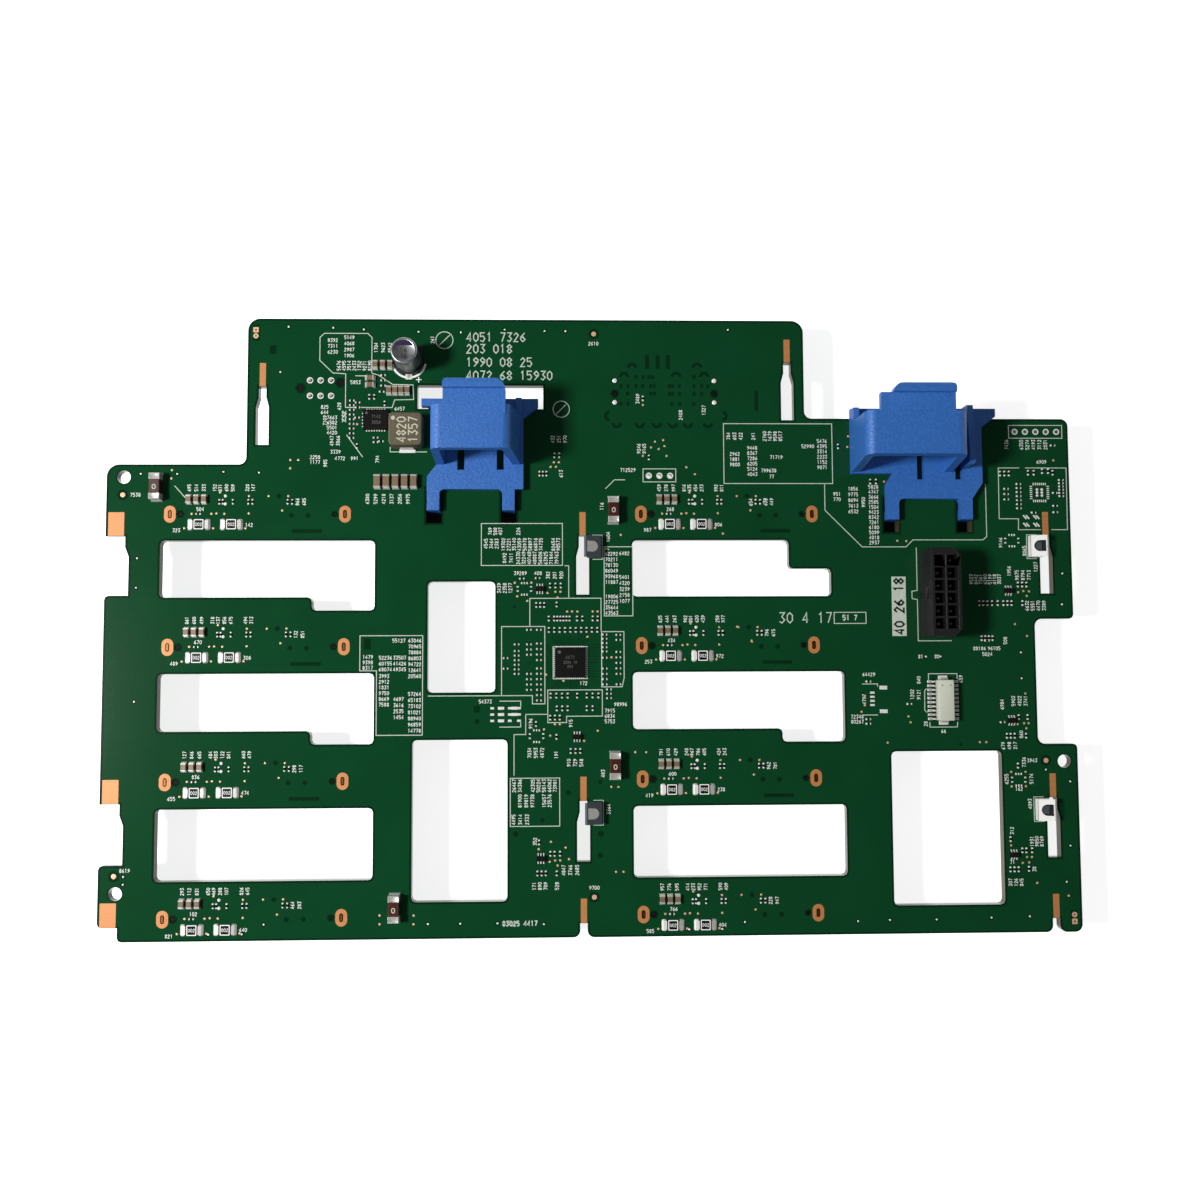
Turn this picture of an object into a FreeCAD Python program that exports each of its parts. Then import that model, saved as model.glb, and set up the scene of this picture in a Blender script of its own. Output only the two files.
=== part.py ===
import FreeCAD, Part
import math
import os

# Drive backplane board: a stepped circuit board with eight drive connectors on its hidden side and
# two handles, a power header and the control electronics on its upper side.
# Millimetres. X runs along the long side, Y across, Z up from the mating faces of the drive connectors.
# The origin is below the middle of the board.

# How corners are drawn: a smaller radius than this is two chords, a larger one is an arc
smallest_arc = 1.2
corner_room = 0.48
touching = 1e-6
hole_sides = 6

# Heights
connector_height = 9.0
board_thickness = 2.4
foil = 0.08
solder_gap = 0.06

# Drive bays: two columns of four, one connector behind each
bay_rows = 4
row_pitch = 32.0
column_pitch = 113.4
lock_span = 41.85

# Board edges, from the locks of the nearest drive connectors
edge_left = 15.2
edge_right = 63.95
edge_top = 48.0
edge_bottom = 5.2
corner_large = 3.0
corner_middle = 1.8
corner_small = 1.0
shoulder_left_x = 18.0
shoulder_left_y = 12.1
shoulder_right_x = 1.5
shoulder_right_y = 23.6
recess_depth = 9.6
recess_top = 6.2
recess_bottom = 7.8

# Airflow windows beside the drive connectors
window_left = 2.2
window_right = 7.25
window_top = 6.4
window_low = 20.1
window_step = 23.3
window_step_a = 34.1
window_step_b = 33.9
window_radius = 1.0
first_window_right = 4.45
first_window_notch = 5.85
first_window_drop = 7.0

# Larger openings in the middle and at the right
middle_window_x = 20.0
middle_window_width = 16.2
middle_window_up = 15.6
middle_window_down = 11.1
tall_window_x = 16.45
tall_window_width = 22.7
tall_window_up = 9.6
tall_window_down = 3.4
right_window_x = 18.4
right_window_width = 26.9
right_window_up = 6.2
right_window_down = 1.5

# Keyhole slots that hang the board on its chassis hooks
hook_narrow = 1.8
hook_wide = 3.1
hook_length = 14.3
hook_neck = 2.6
hook_taper = 2.4
hook_drop_first = 5.3
hook_drop_third = 5.1
hook_drop_last = 1.9
hook_middle_x = 14.2
hook_right_x = 6.3
hook_upper_left_x = 3.7
hook_upper_left_y = 16.8
hook_upper_right_x = 4.1
hook_upper_right_y = 10.5
edge_hook_depth = 4.7
edge_hook_step = 0.9
pad_width = 1.5
pad_length = 5.7
edge_pad_width = 3.8
edge_pad_inset = 0.6

# Round holes
tooling_radius = 1.6
tooling_x = 4.1
tooling_first_y = 3.1
tooling_last_y = 7.9
tooling_right_x = 3.3
tooling_right_y = 3.6
plated_radius = 0.55

# Drive connectors
housing_end = 2.575
housing_width = 6.2
slot_inset = 3.925
slot_width = 2.6
slot_depth = 6.4
guide_length = 2.6
guide_width = 3.4
guide_inset = 2.9
key_width = 1.3
key_offset = 5.6
lock_width = 0.5
lock_length = 1.5
lock_hole_width = 0.95
lock_hole_length = 2.1
peg_inset = 2.475
peg_radius = 0.7
small_peg_radius = 0.5
peg_clearance = 0.08
contact_pitch = 1.27
contact_width = 0.6
contact_thickness = 0.3
contact_length = 5.0
signal_contacts = 7
power_contacts = 15

# Handles
plate_thickness = 2.0
strap_thickness = 2.0
arch_height = 17.0
arch_radius = 2.4
arch_inner_radius = 1.0
tab_slant = 3.0
leg_width = 3.0
leg_pitch = 18.1
leg_reach = 5.1
post_depth = 2.3
toe_length = 4.6
toe_thickness = 1.8
toe_drop = 2.4
toe_rim = 0.6
under_board = 0.2
slot_margin = 0.4
leg_slot_length = 8.6
leg_slot_front = 2.9
bar_width = 1.9
bar_lip = 1.6
lip_height = 1.1
lip_width = 2.4
plate_slot_width = 1.7
plate_slot_length = 10.0
plate_slot_start = 4.7

# Power header
power_ways = 6
power_pitch = 3.0
power_width = 7.1
power_height = 10.0
power_end = 1.8
cell_width = 2.5
cell_depth = 8.2
power_pin = 0.64
power_pin_height = 6.5

# Signal header
signal_leads = 10
signal_pitch = 1.0
signal_width = 3.7
signal_length = 9.8
signal_height = 2.9
lead_width = 0.4
lead_thickness = 0.2
lead_reach = 1.7
nail_thickness = 0.7

# Supply and controller
choke_size = 8.0
choke_height = 5.0
choke_radius = 0.9
choke_bevel = 0.25
can_radius = 3.15
can_height = 9.8
can_base_size = 6.6
can_base_height = 1.3
can_bevel = 0.3
controller_size = 7.4
controller_height = 0.9
regulator_length = 6.0
regulator_width = 5.0
regulator_height = 0.9

# Fuses and ground clips
fuse_length = 6.3
fuse_width = 2.6
fuse_height = 2.7
fuse_cap = 1.5
clip_length = 5.2
clip_width = 4.1
clip_height = 3.0
clip_rise = 1.1
clip_tongue_drop = 1.2
clip_sheet = 0.25
clip_window = 3.0
clip_foot = 3.4
clip_from_slot = 0.3

# Chip parts: length, width and height
sense_chip = (5.0, 2.5, 0.6)
bay_chip = (2.0, 1.25, 1.1)
supply_chip = (3.2, 1.6, 1.6)
tiny_chip = (1.0, 0.5, 0.4)
gate_length = 2.1
gate_width = 1.3
gate_height = 0.9
gate_lead_pitch = 0.65
gate_lead = 0.25

# Frame worked out from the sizes above
board_length = edge_left + column_pitch + lock_span + edge_right
board_width = edge_top + (bay_rows - 1) * row_pitch + edge_bottom
x_left = -board_length / 2
x_right = board_length / 2
y_top = board_width / 2
y_bottom = -board_width / 2
board_low = connector_height
board_high = board_low + board_thickness
housing_length = lock_span + housing_end * 2
slot_length = lock_span - slot_inset * 2
guide_offset = housing_length / 2 - guide_inset
peg_offset = lock_span / 2 - peg_inset
column_a = x_left + edge_left
column_b = column_a + column_pitch
column_end = column_b + lock_span
rows = [y_top - edge_top - row_pitch * n for n in range(bay_rows)]
shoulder_left = column_a + shoulder_left_x
shoulder_left_top = rows[0] + shoulder_left_y
shoulder_right = column_end - shoulder_right_x
shoulder_right_top = rows[0] + shoulder_right_y
hook_first = rows[0] - hook_drop_first
hook_third = rows[2] - hook_drop_third
hook_last = rows[-1] - hook_drop_last
hook_middle = column_b - hook_middle_x
hook_right = x_right - hook_right_x
middle_right = column_a + lock_span + middle_window_x + middle_window_width
tall_right = column_a + lock_span + tall_window_x + tall_window_width

# The two handles: places in x and y, each from a lock of the first row or from its own legs
left_legs_x = 19.85
right_legs_x = 18.0
left_front_y = 5.8
right_front_y = 3.5
left_handle = {
    "legs": column_a + lock_span + left_legs_x,
    "front": rows[0] + left_front_y,
    "wall": 2.2,
    "arch_width": 18.6,
    "arch_lean": 1.9,
    "plate_beyond": 2.1,
    "plate_slant": 0.0,
    "shoulder_low": 3.1,
    "shoulder_high": 6.3,
    "shoulder_x": 2.5,
    "arch_front": 7.2,
    "arch_depth": 10.2,
    "arch_sweep": 1.3,
    "tab_x": 5.2,
    "tab_width": 14.4,
    "tab_reach": 6.0,
    "tab_corners": (corner_small, tab_slant),
    "ear_left": 1.4,
    "ear_right": 3.6,
    "plate_slots": (7.3, 16.8),
    "guard": 21.5,
    "guard_front": 3.6,
    "guard_back": 5.0,
}
right_handle = {
    "legs": column_end + right_legs_x,
    "front": rows[0] + right_front_y,
    "wall": -8.4,
    "arch_width": 23.9,
    "arch_lean": 0.8,
    "plate_beyond": 2.6,
    "plate_slant": 3.9,
    "shoulder_low": 3.6,
    "shoulder_high": 6.2,
    "shoulder_x": 1.6,
    "arch_front": 8.3,
    "arch_depth": 10.2,
    "arch_sweep": 1.9,
    "tab_x": -2.3,
    "tab_width": 14.9,
    "tab_reach": 6.5,
    "tab_corners": (tab_slant, corner_small),
    "ear_left": 0.0,
    "ear_right": 3.5,
    "plate_slots": (7.6, 17.0),
    "guard": 18.3,
    "guard_front": 9.3,
    "guard_back": 7.8,
}
tongue_gap = 0.2
tongue_up = 25.8
tongue_slot_width = 5.8
tongue_slot_end = 1.2
guard_width = 1.4
guard_inset = 0.3
rib_height = 4.5
guard_setback = 0.8
step_width = 2.6
step_reach = 4.2

# Places of the electronics, from the nearest lock or edge
power_x = 29.65
power_y = 12.2
power_latch = 0.8
signal_x = 31.3
signal_y = 13.5
controller_x = 17.3
controller_y = 4.0
choke_x = 14.95
choke_y = 19.9
regulator_gap = 0.75
regulator_up = 3.1
can_x = 15.15
can_y = 37.6
sense_x = (7.0, 14.75)
sense_y = 2.5
bay_capacitor_x = (4.5, 6.35, 8.2)
bay_capacitor_y = 3.6
gate_x = (10.75, 16.7, 8.0, 9.7, 9.7, 10.0)
gate_y = (13.8, 10.2, 13.4, 13.1, 13.5, 13.3)
gate_places = [(middle_right + gate_x[0], rows[1] + gate_y[0]), (tall_right + gate_x[1], rows[2] + gate_y[1]),
               (tall_right + gate_x[2], rows[-1] + gate_y[2]), (hook_right - gate_x[3], rows[1] + gate_y[3]),
               (hook_right - gate_x[4], rows[2] + gate_y[4]), (hook_right - gate_x[5], rows[-1] + gate_y[5])]
fuse_x = (3.1, 6.7, 6.6, 12.55)
fuse_y = (6.5, 0.9, 3.3, 2.2)
fuse_places = [(column_a - fuse_x[0], rows[0] + fuse_y[0]), (column_b - fuse_x[1], rows[0] + fuse_y[1]),
               (column_b - fuse_x[2], rows[2] + fuse_y[2]),
               (column_a + lock_span + fuse_x[3], rows[-1] + fuse_y[3])]
clip_drop = 2.8

# Runs of chip parts: x and y of the first from the middle of the controller or from the right lock
# of the first bay, how many, and how far apart
upright_runs = [(-5.2, 10.6, 5, 1.0), (-5.2, 7.8, 8, 1.32), (3.9, -7.8, 3, 1.4)]
flat_runs = [(8.35, 6.6, 5, 1.0), (-7.6, 4.4, 4, 1.23), (-7.6, -1.4, 6, 1.28)]
input_run = (7.75, 7.9, 5, 2.2)
filter_run = (7.05, 36.6, 3, 1.8)
output_run = (10.4, 30.3, 4, 1.47)
side_run = (5.85, 33.3, 2, 1.7)

# Connectors on the hidden side whose pins and pegs come through
aux_x = 35.65
aux_y = 30.85
aux_pitch = 2.55
aux_row_pitch = 3.8
aux_peg_left = 4.8
aux_peg_right = 4.8
aux_peg_rise = 1.3
aux_peg_radius = 0.95
aux_length = 12.6
aux_width = 7.2
aux_depth = 6.5
aux_wall = 0.9
aux_floor = 1.8
aux_pin = 0.5
aux_tail = 0.5
data_x = 6.0
data_y = 29.7
data_peg_span = 24.4
data_peg_radius = 0.75
data_hole_high = 3.2
data_hole_low = 2.2
data_length = 21.6
data_width = 5.7
data_depth = 5.0
data_floor = 1.25
data_slot_length = 17.6
data_slot_width = 1.6
data_contacts = 8
data_contact_pitch = 2.0
data_ear_length = 26.6
data_ear_width = 2.0
header_pitch = 2.6
test_header_x = 2.0
test_header_y = 9.4
test_header_pins = 3
debug_header_x = 13.3
debug_header_y = 3.2
debug_header_pins = 5


def vec(x, y, z):
    return FreeCAD.Vector(x, y, z)


def straight(start, end):
    return Part.LineSegment(start, end).toShape()


# A closed wire through corners given as (x, y) or (x, y, radius), rounded between its straight edges
def outline(corners):
    points = [vec(corner[0], corner[1], 0) for corner in corners]
    radii = [corner[2] if len(corner) > 2 else 0 for corner in corners]
    count = len(points)
    starts = []
    ends = []
    bends = []
    for n in range(count):
        here = points[n]
        back = points[n - 1].sub(here)
        ahead = points[(n + 1) % count].sub(here)
        half = back.getAngle(ahead) / 2
        room = corner_room * min(back.Length, ahead.Length)
        reach = min(radii[n] / math.tan(half), room)
        back.normalize()
        ahead.normalize()
        start = here.add(back * reach)
        end = here.add(ahead * reach)
        starts.append(start)
        ends.append(end)
        if reach > 0:
            inward = back.add(ahead).normalize()
            middle = here.add(inward * (reach / math.cos(half) - reach * math.tan(half)))
            if radii[n] < smallest_arc:
                bends.append([straight(start, middle), straight(middle, end)])
            else:
                bends.append([Part.Arc(start, middle, end).toShape()])
        else:
            bends.append([])
    edges = []
    for n in range(count):
        if ends[n - 1].distanceToPoint(starts[n]) > touching:
            edges.append(straight(ends[n - 1], starts[n]))
        edges += bends[n]
    return Part.Wire(edges)


# An upright prism on a profile seen from above
def prism(corners, low, high):
    solid = Part.Face(outline(corners)).extrude(vec(0, 0, high - low))
    solid.translate(vec(0, 0, low))
    return solid


# A prism on a profile of (x, z), running along Y
def prism_along_y(corners, y_start, y_end):
    solid = Part.Face(outline(corners)).extrude(vec(0, 0, y_end - y_start))
    solid.rotate(vec(0, 0, 0), vec(1, 0, 0), 90)
    solid.translate(vec(0, y_end, 0))
    return solid


# A prism on a profile of (y, z), running along X
def prism_along_x(corners, x_start, x_end):
    solid = Part.Face(outline(corners)).extrude(vec(0, 0, x_end - x_start))
    solid.rotate(vec(0, 0, 0), vec(1, 1, 1), 120)
    solid.translate(vec(x_start, 0, 0))
    return solid


def rectangle(x1, x2, y1, y2, radius=0):
    return [(x1, y1, radius), (x2, y1, radius), (x2, y2, radius), (x1, y2, radius)]


def block(x1, x2, y1, y2, z1, z2):
    return Part.makeBox(x2 - x1, y2 - y1, z2 - z1, vec(x1, y1, z1))


def centred_block(x, y, length_x, length_y, z1, z2):
    return block(x - length_x / 2, x + length_x / 2, y - length_y / 2, y + length_y / 2, z1, z2)


def rod(x, y, radius, z1, z2):
    return Part.makeCylinder(radius, z2 - z1, vec(x, y, z1))


# A small drilled hole or peg, six-sided so that dozens of them stay light
def hexagon(x, y, radius, low, high):
    turns = [2 * math.pi * n / hole_sides for n in range(hole_sides)]
    return prism([(x + radius * math.cos(turn), y + radius * math.sin(turn)) for turn in turns], low, high)


def save(name, solids):
    shape = solids[0] if len(solids) == 1 else Part.makeCompound(solids)
    shape.exportStep(os.path.join("parts", name + ".step"))


# The keyhole of one chassis hook: a neck at the top, a taper and a wide lower part
def keyhole(x, top):
    narrow = hook_narrow / 2
    wide = hook_wide / 2
    neck = top - hook_neck
    shoulder = neck - hook_taper
    low = top - hook_length
    return [(x - narrow, top), (x + narrow, top), (x + narrow, neck), (x + wide, shoulder),
            (x + wide, low), (x - wide, low),
            (x - wide, shoulder), (x - narrow, neck)]


# The half keyhole of a hook at the left edge, as corners of the board's own outline, upwards
def edge_hook(top):
    inner = x_left + edge_hook_depth
    deep = inner + edge_hook_step
    low = top - hook_length
    return [(x_left, low, corner_small), (deep, low), (deep, top - hook_neck - hook_taper),
            (inner, top - hook_neck), (inner, top), (x_left, top)]


def board_outline():
    recess = x_right - recess_depth
    notch = hook_narrow / 2
    foot = x_left + edge_hook_depth
    corners = [(shoulder_left, y_top, corner_large),
               (shoulder_right, y_top, corner_large),
               (shoulder_right, shoulder_right_top, corner_middle),
               (x_right, shoulder_right_top, corner_middle),
               (x_right, rows[1] + recess_top, corner_small),
               (recess, rows[1] + recess_top, corner_middle),
               (recess, rows[2] + recess_bottom, corner_middle),
               (x_right, rows[2] + recess_bottom, corner_small),
               (x_right, y_bottom, corner_middle)]
    for x in (hook_right, hook_middle):
        corners += [(x + notch, y_bottom, corner_middle), (x + notch, hook_last),
                    (x - notch, hook_last), (x - notch, y_bottom, corner_middle)]
    corners += [(foot, y_bottom, corner_small), (foot, hook_last), (x_left, hook_last, corner_small)]
    for top in (hook_third, hook_first):
        corners += edge_hook(top)
    corners += [(x_left, shoulder_left_top, corner_large),
                (shoulder_left, shoulder_left_top, corner_middle)]
    return corners


# A window beside a row of drive connectors, with a deeper part from step_x to the right
def stepped_window(x1, x2, step_x, row):
    top = row - window_top
    low = row - window_low
    deep = row - window_step
    return [(x1, low, window_radius), (step_x, low, window_radius), (step_x, deep, window_radius),
            (x2, deep, window_radius), (x2, top, window_radius), (x1, top, window_radius)]


def windows():
    a1 = column_a - window_left
    a2 = column_a + lock_span + window_right
    b1 = column_b - window_left
    b2 = column_end + window_right
    shapes = [stepped_window(a1, a2, column_a + window_step_a, row) for row in rows[:2]]
    shapes.append(stepped_window(b1, b2, column_b + window_step_b, rows[1]))
    third = rows[2]
    for x1, x2 in ((a1, a2), (b1, b2)):
        shapes.append(rectangle(x1, x2, third - window_step, third - window_top, window_radius))
    low = rows[0] - window_low
    top = rows[0] - window_top
    far = column_end + first_window_right
    near = column_end - first_window_notch
    drop = top - first_window_drop
    shapes.append([(b1, low, window_radius), (far, low, window_radius), (far, drop, window_radius),
                   (near, drop, window_radius), (near, top, window_radius), (b1, top, window_radius)])
    middle = column_a + lock_span + middle_window_x
    shapes.append(rectangle(middle, middle + middle_window_width, rows[1] - middle_window_down,
                            rows[1] + middle_window_up, window_radius))
    tall = column_a + lock_span + tall_window_x
    shapes.append(rectangle(tall, tall + tall_window_width, rows[-1] + tall_window_down,
                            rows[2] + tall_window_up, window_radius))
    right = column_end + right_window_x
    shapes.append(rectangle(right, right + right_window_width, rows[-1] + right_window_down,
                            rows[2] + right_window_up, window_radius))
    return shapes


def keyholes():
    places = [(hook_middle, hook_first), (hook_middle, hook_third), (hook_right, hook_first),
              (hook_right, hook_third),
              (shoulder_left + hook_upper_left_x, y_top - hook_upper_left_y),
              (shoulder_right - hook_upper_right_x, y_top - hook_upper_right_y)]
    return places


# Every bay as the place of its left lock
def bays():
    return [(x, y) for x in (column_a, column_b) for y in rows]


# Where the legs of a handle pass through the board
def leg_slots(handle):
    front = handle["front"] - leg_reach - leg_slot_front
    slots = []
    for leg in (handle["legs"], handle["legs"] + leg_pitch):
        slots.append(rectangle(leg - slot_margin, leg + leg_width + slot_margin,
                               front, front + leg_slot_length))
    return slots


def lock_places():
    return [(x + side, y) for x, y in bays() for side in (0, lock_span)]


def peg_holes():
    holes = []
    for x, y in bays():
        centre = x + lock_span / 2
        holes.append((centre - peg_offset, y, peg_radius + peg_clearance))
        holes.append((centre + peg_offset, y, small_peg_radius + peg_clearance))
    return holes


def tooling_holes():
    return [(x_left + tooling_x, shoulder_left_top - tooling_first_y),
            (x_left + tooling_x, hook_last + tooling_last_y),
            (x_right - tooling_right_x, rows[2] + tooling_right_y)]


def small_holes():
    holes = peg_holes()
    holes += [(x, y, plated_radius) for x, y in aux_pins()]
    holes += [(x, y, aux_peg_radius + peg_clearance) for x, y in aux_pegs()]
    holes += [(x, y, data_peg_radius + peg_clearance) for x, y in data_pegs()]
    holes += [(x, y, plated_radius) for x, y in data_holes() + test_header() + debug_header()]
    return holes


def circuit_board():
    board = prism(board_outline(), board_low, board_high)
    low = board_low - foil
    high = board_high + foil
    cuts = [prism(shape, low, high) for shape in windows()]
    cuts += [prism(keyhole(x, top), low, high) for x, top in keyholes()]
    cuts += [prism(shape, low, high) for shape in leg_slots(left_handle) + leg_slots(right_handle)]
    cuts.append(prism(tongue_slot(), low, high))
    for x, y in lock_places():
        cuts.append(centred_block(x, y, lock_hole_width, lock_hole_length, low, high))
    cuts += [rod(x, y, tooling_radius, low, high) for x, y in tooling_holes()]
    cuts += [hexagon(x, y, radius, low, high) for x, y, radius in small_holes()]
    return board.cut(cuts)


# The handles' plates seen from above, with legs at the front and a bar at the back
def bar_start(handle):
    if handle is left_handle:
        return rows[0] + tongue_up + tongue_gap
    return shoulder_right_top + tongue_gap


def tongue_slot():
    right = left_handle["legs"] + leg_pitch + leg_width + left_handle["plate_beyond"]
    left = left_handle["legs"] - left_handle["ear_left"]
    front = rows[0] + tongue_up
    return rectangle(left - tongue_slot_end, right + left_handle["ear_right"] + tongue_slot_end,
                     front, front + tongue_slot_width)


def plate(handle):
    left = handle["legs"]
    front = handle["front"]
    tip = front - leg_reach
    inner = left + leg_width
    second = left + leg_pitch
    outer = second + leg_width
    right = outer + handle["plate_beyond"]
    wall = left + handle["wall"]
    back = bar_start(handle) + bar_width / 2
    corners = [(left, tip), (inner, tip), (inner, front, corner_small), (second, front, corner_small),
               (second, tip), (outer, tip), (outer, front)]
    corners += [(right, front + handle["plate_slant"]), (right, back), (wall, back),
                (wall, front + handle["shoulder_high"])]
    if handle["shoulder_x"] > handle["wall"]:
        corners.append((left + handle["shoulder_x"], front + handle["shoulder_high"]))
    corners.append((left, front + handle["shoulder_low"]))
    return prism(corners, board_high, board_high + plate_thickness)


# Below the board each leg ends in a hollow foot, wider than its slot, that grips the board
def leg_posts(handle):
    tip = handle["front"] - leg_reach
    top = board_high + plate_thickness
    rim_top = board_low - under_board
    trough = rim_top - toe_drop
    low = trough - toe_thickness
    start = tip - leg_slot_front
    end = start + leg_slot_length
    solids = []
    for leg in (handle["legs"], handle["legs"] + leg_pitch):
        left = leg - slot_margin
        right = leg + leg_width + slot_margin
        foot = prism_along_x([(tip - toe_length, low, corner_small), (end + toe_rim, low, corner_small),
                              (end + toe_rim, rim_top), (tip - toe_length, rim_top)],
                             left - toe_rim, right + toe_rim)
        hollow = block(left, right, start, end, trough, rim_top + foil)
        post = block(leg, leg + leg_width, tip, tip + post_depth, trough - foil, top)
        solids.append(foot.cut(hollow).fuse(post))
    return solids


# The bar along the back, with the lip between its ears that catches under the edge of the board
def back_bar(handle):
    start = bar_start(handle)
    end = start + bar_width
    legs = handle["legs"]
    left = legs + min(handle["wall"], 0) - handle["ear_left"]
    right = legs + leg_pitch + leg_width + handle["plate_beyond"] + handle["ear_right"]
    top = board_high + plate_thickness
    lip_top = board_low - under_board
    profile = [(start, top), (start, lip_top), (start - bar_lip, lip_top),
               (start - bar_lip, lip_top - toe_thickness), (end, lip_top - toe_thickness, corner_small / 2),
               (end, top, corner_small / 2)]
    lip = prism_along_x(profile, legs, legs + leg_pitch + leg_width)
    return lip.fuse(block(left, right, start, end, board_high, top))


# The arch that the fingers pull: two walls and a strap with round shoulders, its front leaning back
def arch(handle):
    t = strap_thickness
    base = board_high + plate_thickness / 2
    top = board_high + arch_height
    left = handle["legs"] + handle["wall"]
    right = left + handle["arch_width"]
    foot = right + handle["arch_lean"]
    profile = [(left, base), (left, top, arch_radius), (right, top, arch_radius), (foot, base),
               (foot - t, base), (right - t, top - t, arch_inner_radius),
               (left + t, top - t, arch_inner_radius), (left + t, base)]
    front = handle["front"] + handle["arch_front"]
    low_front = front - handle["arch_sweep"]
    lean = [(low_front - t, base), (low_front, base), (front, top), (front, top + t),
            (low_front - t, top + t)]
    strap = prism_along_y(profile, low_front, front + handle["arch_depth"])
    return strap.cut(prism_along_x(lean, left - t, foot + t))


# The thumb tab behind the arch, with a raised roll along its edge
def thumb_tab(handle):
    back = handle["front"] + handle["arch_front"] + handle["arch_depth"]
    end = back + handle["tab_reach"]
    left = handle["legs"] + handle["tab_x"]
    right = left + handle["tab_width"]
    top = board_high + arch_height
    low = top - strap_thickness
    start = back - arch_radius
    roll = top + lip_height
    profile = [(start, low), (end, low, corner_small / 2), (end, roll, corner_small),
               (end - lip_width, roll, corner_small), (end - lip_width, top), (start, top)]
    tab = prism_along_x(profile, left, right)
    corner_left, corner_right = handle["tab_corners"]
    seen = prism([(left, start), (right, start), (right, end, corner_right), (left, end, corner_left)],
                 low - plate_thickness, roll + plate_thickness)
    return tab.common(seen)


def handle_solid(handle):
    parts = leg_posts(handle) + [back_bar(handle), arch(handle), thumb_tab(handle)]
    top = board_high + plate_thickness
    front = handle["front"] + handle["arch_front"]
    back = bar_start(handle)
    right = handle["legs"] + leg_pitch + leg_width + handle["plate_beyond"]
    tip = handle["ear_right"]
    gusset = [(right - corner_small, back - tip), (right + tip, back), (right + tip, back + bar_width / 2),
              (right - corner_small, back + bar_width / 2)]
    parts.append(prism(gusset, board_high, top))
    base = board_high + plate_thickness / 2
    behind = back + bar_width - guard_inset
    start = front - guard_setback
    profile = [(start, base), (start, board_high + handle["guard_front"], corner_small),
               (behind, board_high + handle["guard_back"], corner_small / 2), (behind, base)]
    guard = handle["legs"] + handle["guard"]
    parts.append(prism_along_x(profile, guard, guard + guard_width))
    if handle is right_handle:
        arch_back = front + handle["arch_depth"]
        arch_top = board_high + arch_height
        step = handle["legs"] + handle["tab_x"]
        parts.append(block(step - step_width, step + strap_thickness, arch_back - strap_thickness,
                           arch_back + step_reach, arch_top - strap_thickness, arch_top - solder_gap))
        wall = handle["legs"] + handle["wall"]
        parts.append(block(wall, wall + guard_width, arch_back - strap_thickness, behind,
                           base, board_high + rib_height))
    solid = plate(handle).fuse(parts)
    slots = []
    for x in handle["plate_slots"]:
        centre = handle["legs"] + x
        slots.append(block(centre, centre + plate_slot_width, handle["front"] + plate_slot_start,
                           front + plate_slot_length, board_high - foil, top + foil))
    return solid.cut(slots).removeSplitter()


# One drive connector: a housing with a keyed slot, a pocket at each end and two pegs
def drive_housing(x, y):
    body = centred_block(x, y, housing_length, housing_width, 0, board_low)
    half = slot_length / 2
    key = x - key_offset
    wall = slot_width / 2
    slot = prism([(x - half, y - wall), (key - key_width / 2, y - wall), (key - key_width / 2, y),
                  (key + key_width / 2, y), (key + key_width / 2, y - wall), (x + half, y - wall),
                  (x + half, y + wall), (x - half, y + wall)], -foil, slot_depth)
    pockets = [centred_block(x + side * guide_offset, y, guide_length, guide_width, -foil, slot_depth)
               for side in (-1, 1)]
    top = board_high - solder_gap
    pegs = [hexagon(x - peg_offset, y, peg_radius, board_low - foil, top),
            hexagon(x + peg_offset, y, small_peg_radius, board_low - foil, top)]
    return body.cut([slot] + pockets).fuse(pegs)


# Spring contacts along one wall of the slot, each a wedge that leans out towards the drive
def drive_contacts(x, y):
    wall = y + slot_width / 2
    key = x - key_offset
    first = x - slot_length / 2 + contact_pitch
    second = key + key_width / 2 + contact_pitch
    places = [first + contact_pitch * n for n in range(signal_contacts)]
    places += [second + contact_pitch * n for n in range(power_contacts)]
    wedge = [(wall, slot_depth), (wall, slot_depth - contact_length),
             (wall - contact_thickness, slot_depth - contact_length)]
    return [prism_along_x(wedge, place - contact_width / 2, place + contact_width / 2) for place in places]


def boardlocks():
    return [centred_block(x, y, lock_width, lock_length, board_low, board_high + foil * 2)
            for x, y in lock_places()]


def contact_pads():
    pads = []
    for x, top in keyholes() + [(hook_middle, hook_last), (hook_right, hook_last)]:
        pads.append(block(x - pad_width / 2, x + pad_width / 2, top + foil, top + foil + pad_length,
                          board_high, board_high + foil))
    for top in (hook_first, hook_third, hook_last):
        left = x_left + edge_pad_inset
        pads.append(block(left, left + edge_pad_width, top + foil, top + foil + pad_length,
                          board_high, board_high + foil))
    return pads


# The upright power header: cells open at the top, a square pin standing in each
def power_centre():
    return column_end + power_x, rows[1] + power_y


def power_cells():
    x, y = power_centre()
    middle = (power_ways - 1) / 2
    return [(x + side * power_pitch / 2, y + (n - middle) * power_pitch)
            for side in (-1, 1) for n in range(power_ways)]


def power_housing():
    x, y = power_centre()
    length = (power_ways - 1) * power_pitch + cell_width + power_end * 2
    top = board_high + power_height
    half = power_width / 2
    ends = length / 2
    body = prism([(x - half, y - ends), (x + half - power_end, y - ends), (x + half, y - ends + power_end),
                  (x + half, y + ends - power_end), (x + half - power_end, y + ends), (x - half, y + ends)],
                 board_high, top)
    latch_top = board_high + cell_depth
    wedge = [(x - half, latch_top), (x - half - power_latch, latch_top), (x - half, latch_top - power_pitch)]
    latch = prism_along_y(wedge, y - cell_width / 2, y + cell_width / 2)
    cuts = [centred_block(cell_x, cell_y, cell_width, cell_width, top - cell_depth, top + foil)
            for cell_x, cell_y in power_cells()]
    return body.fuse(latch).cut(cuts)


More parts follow.
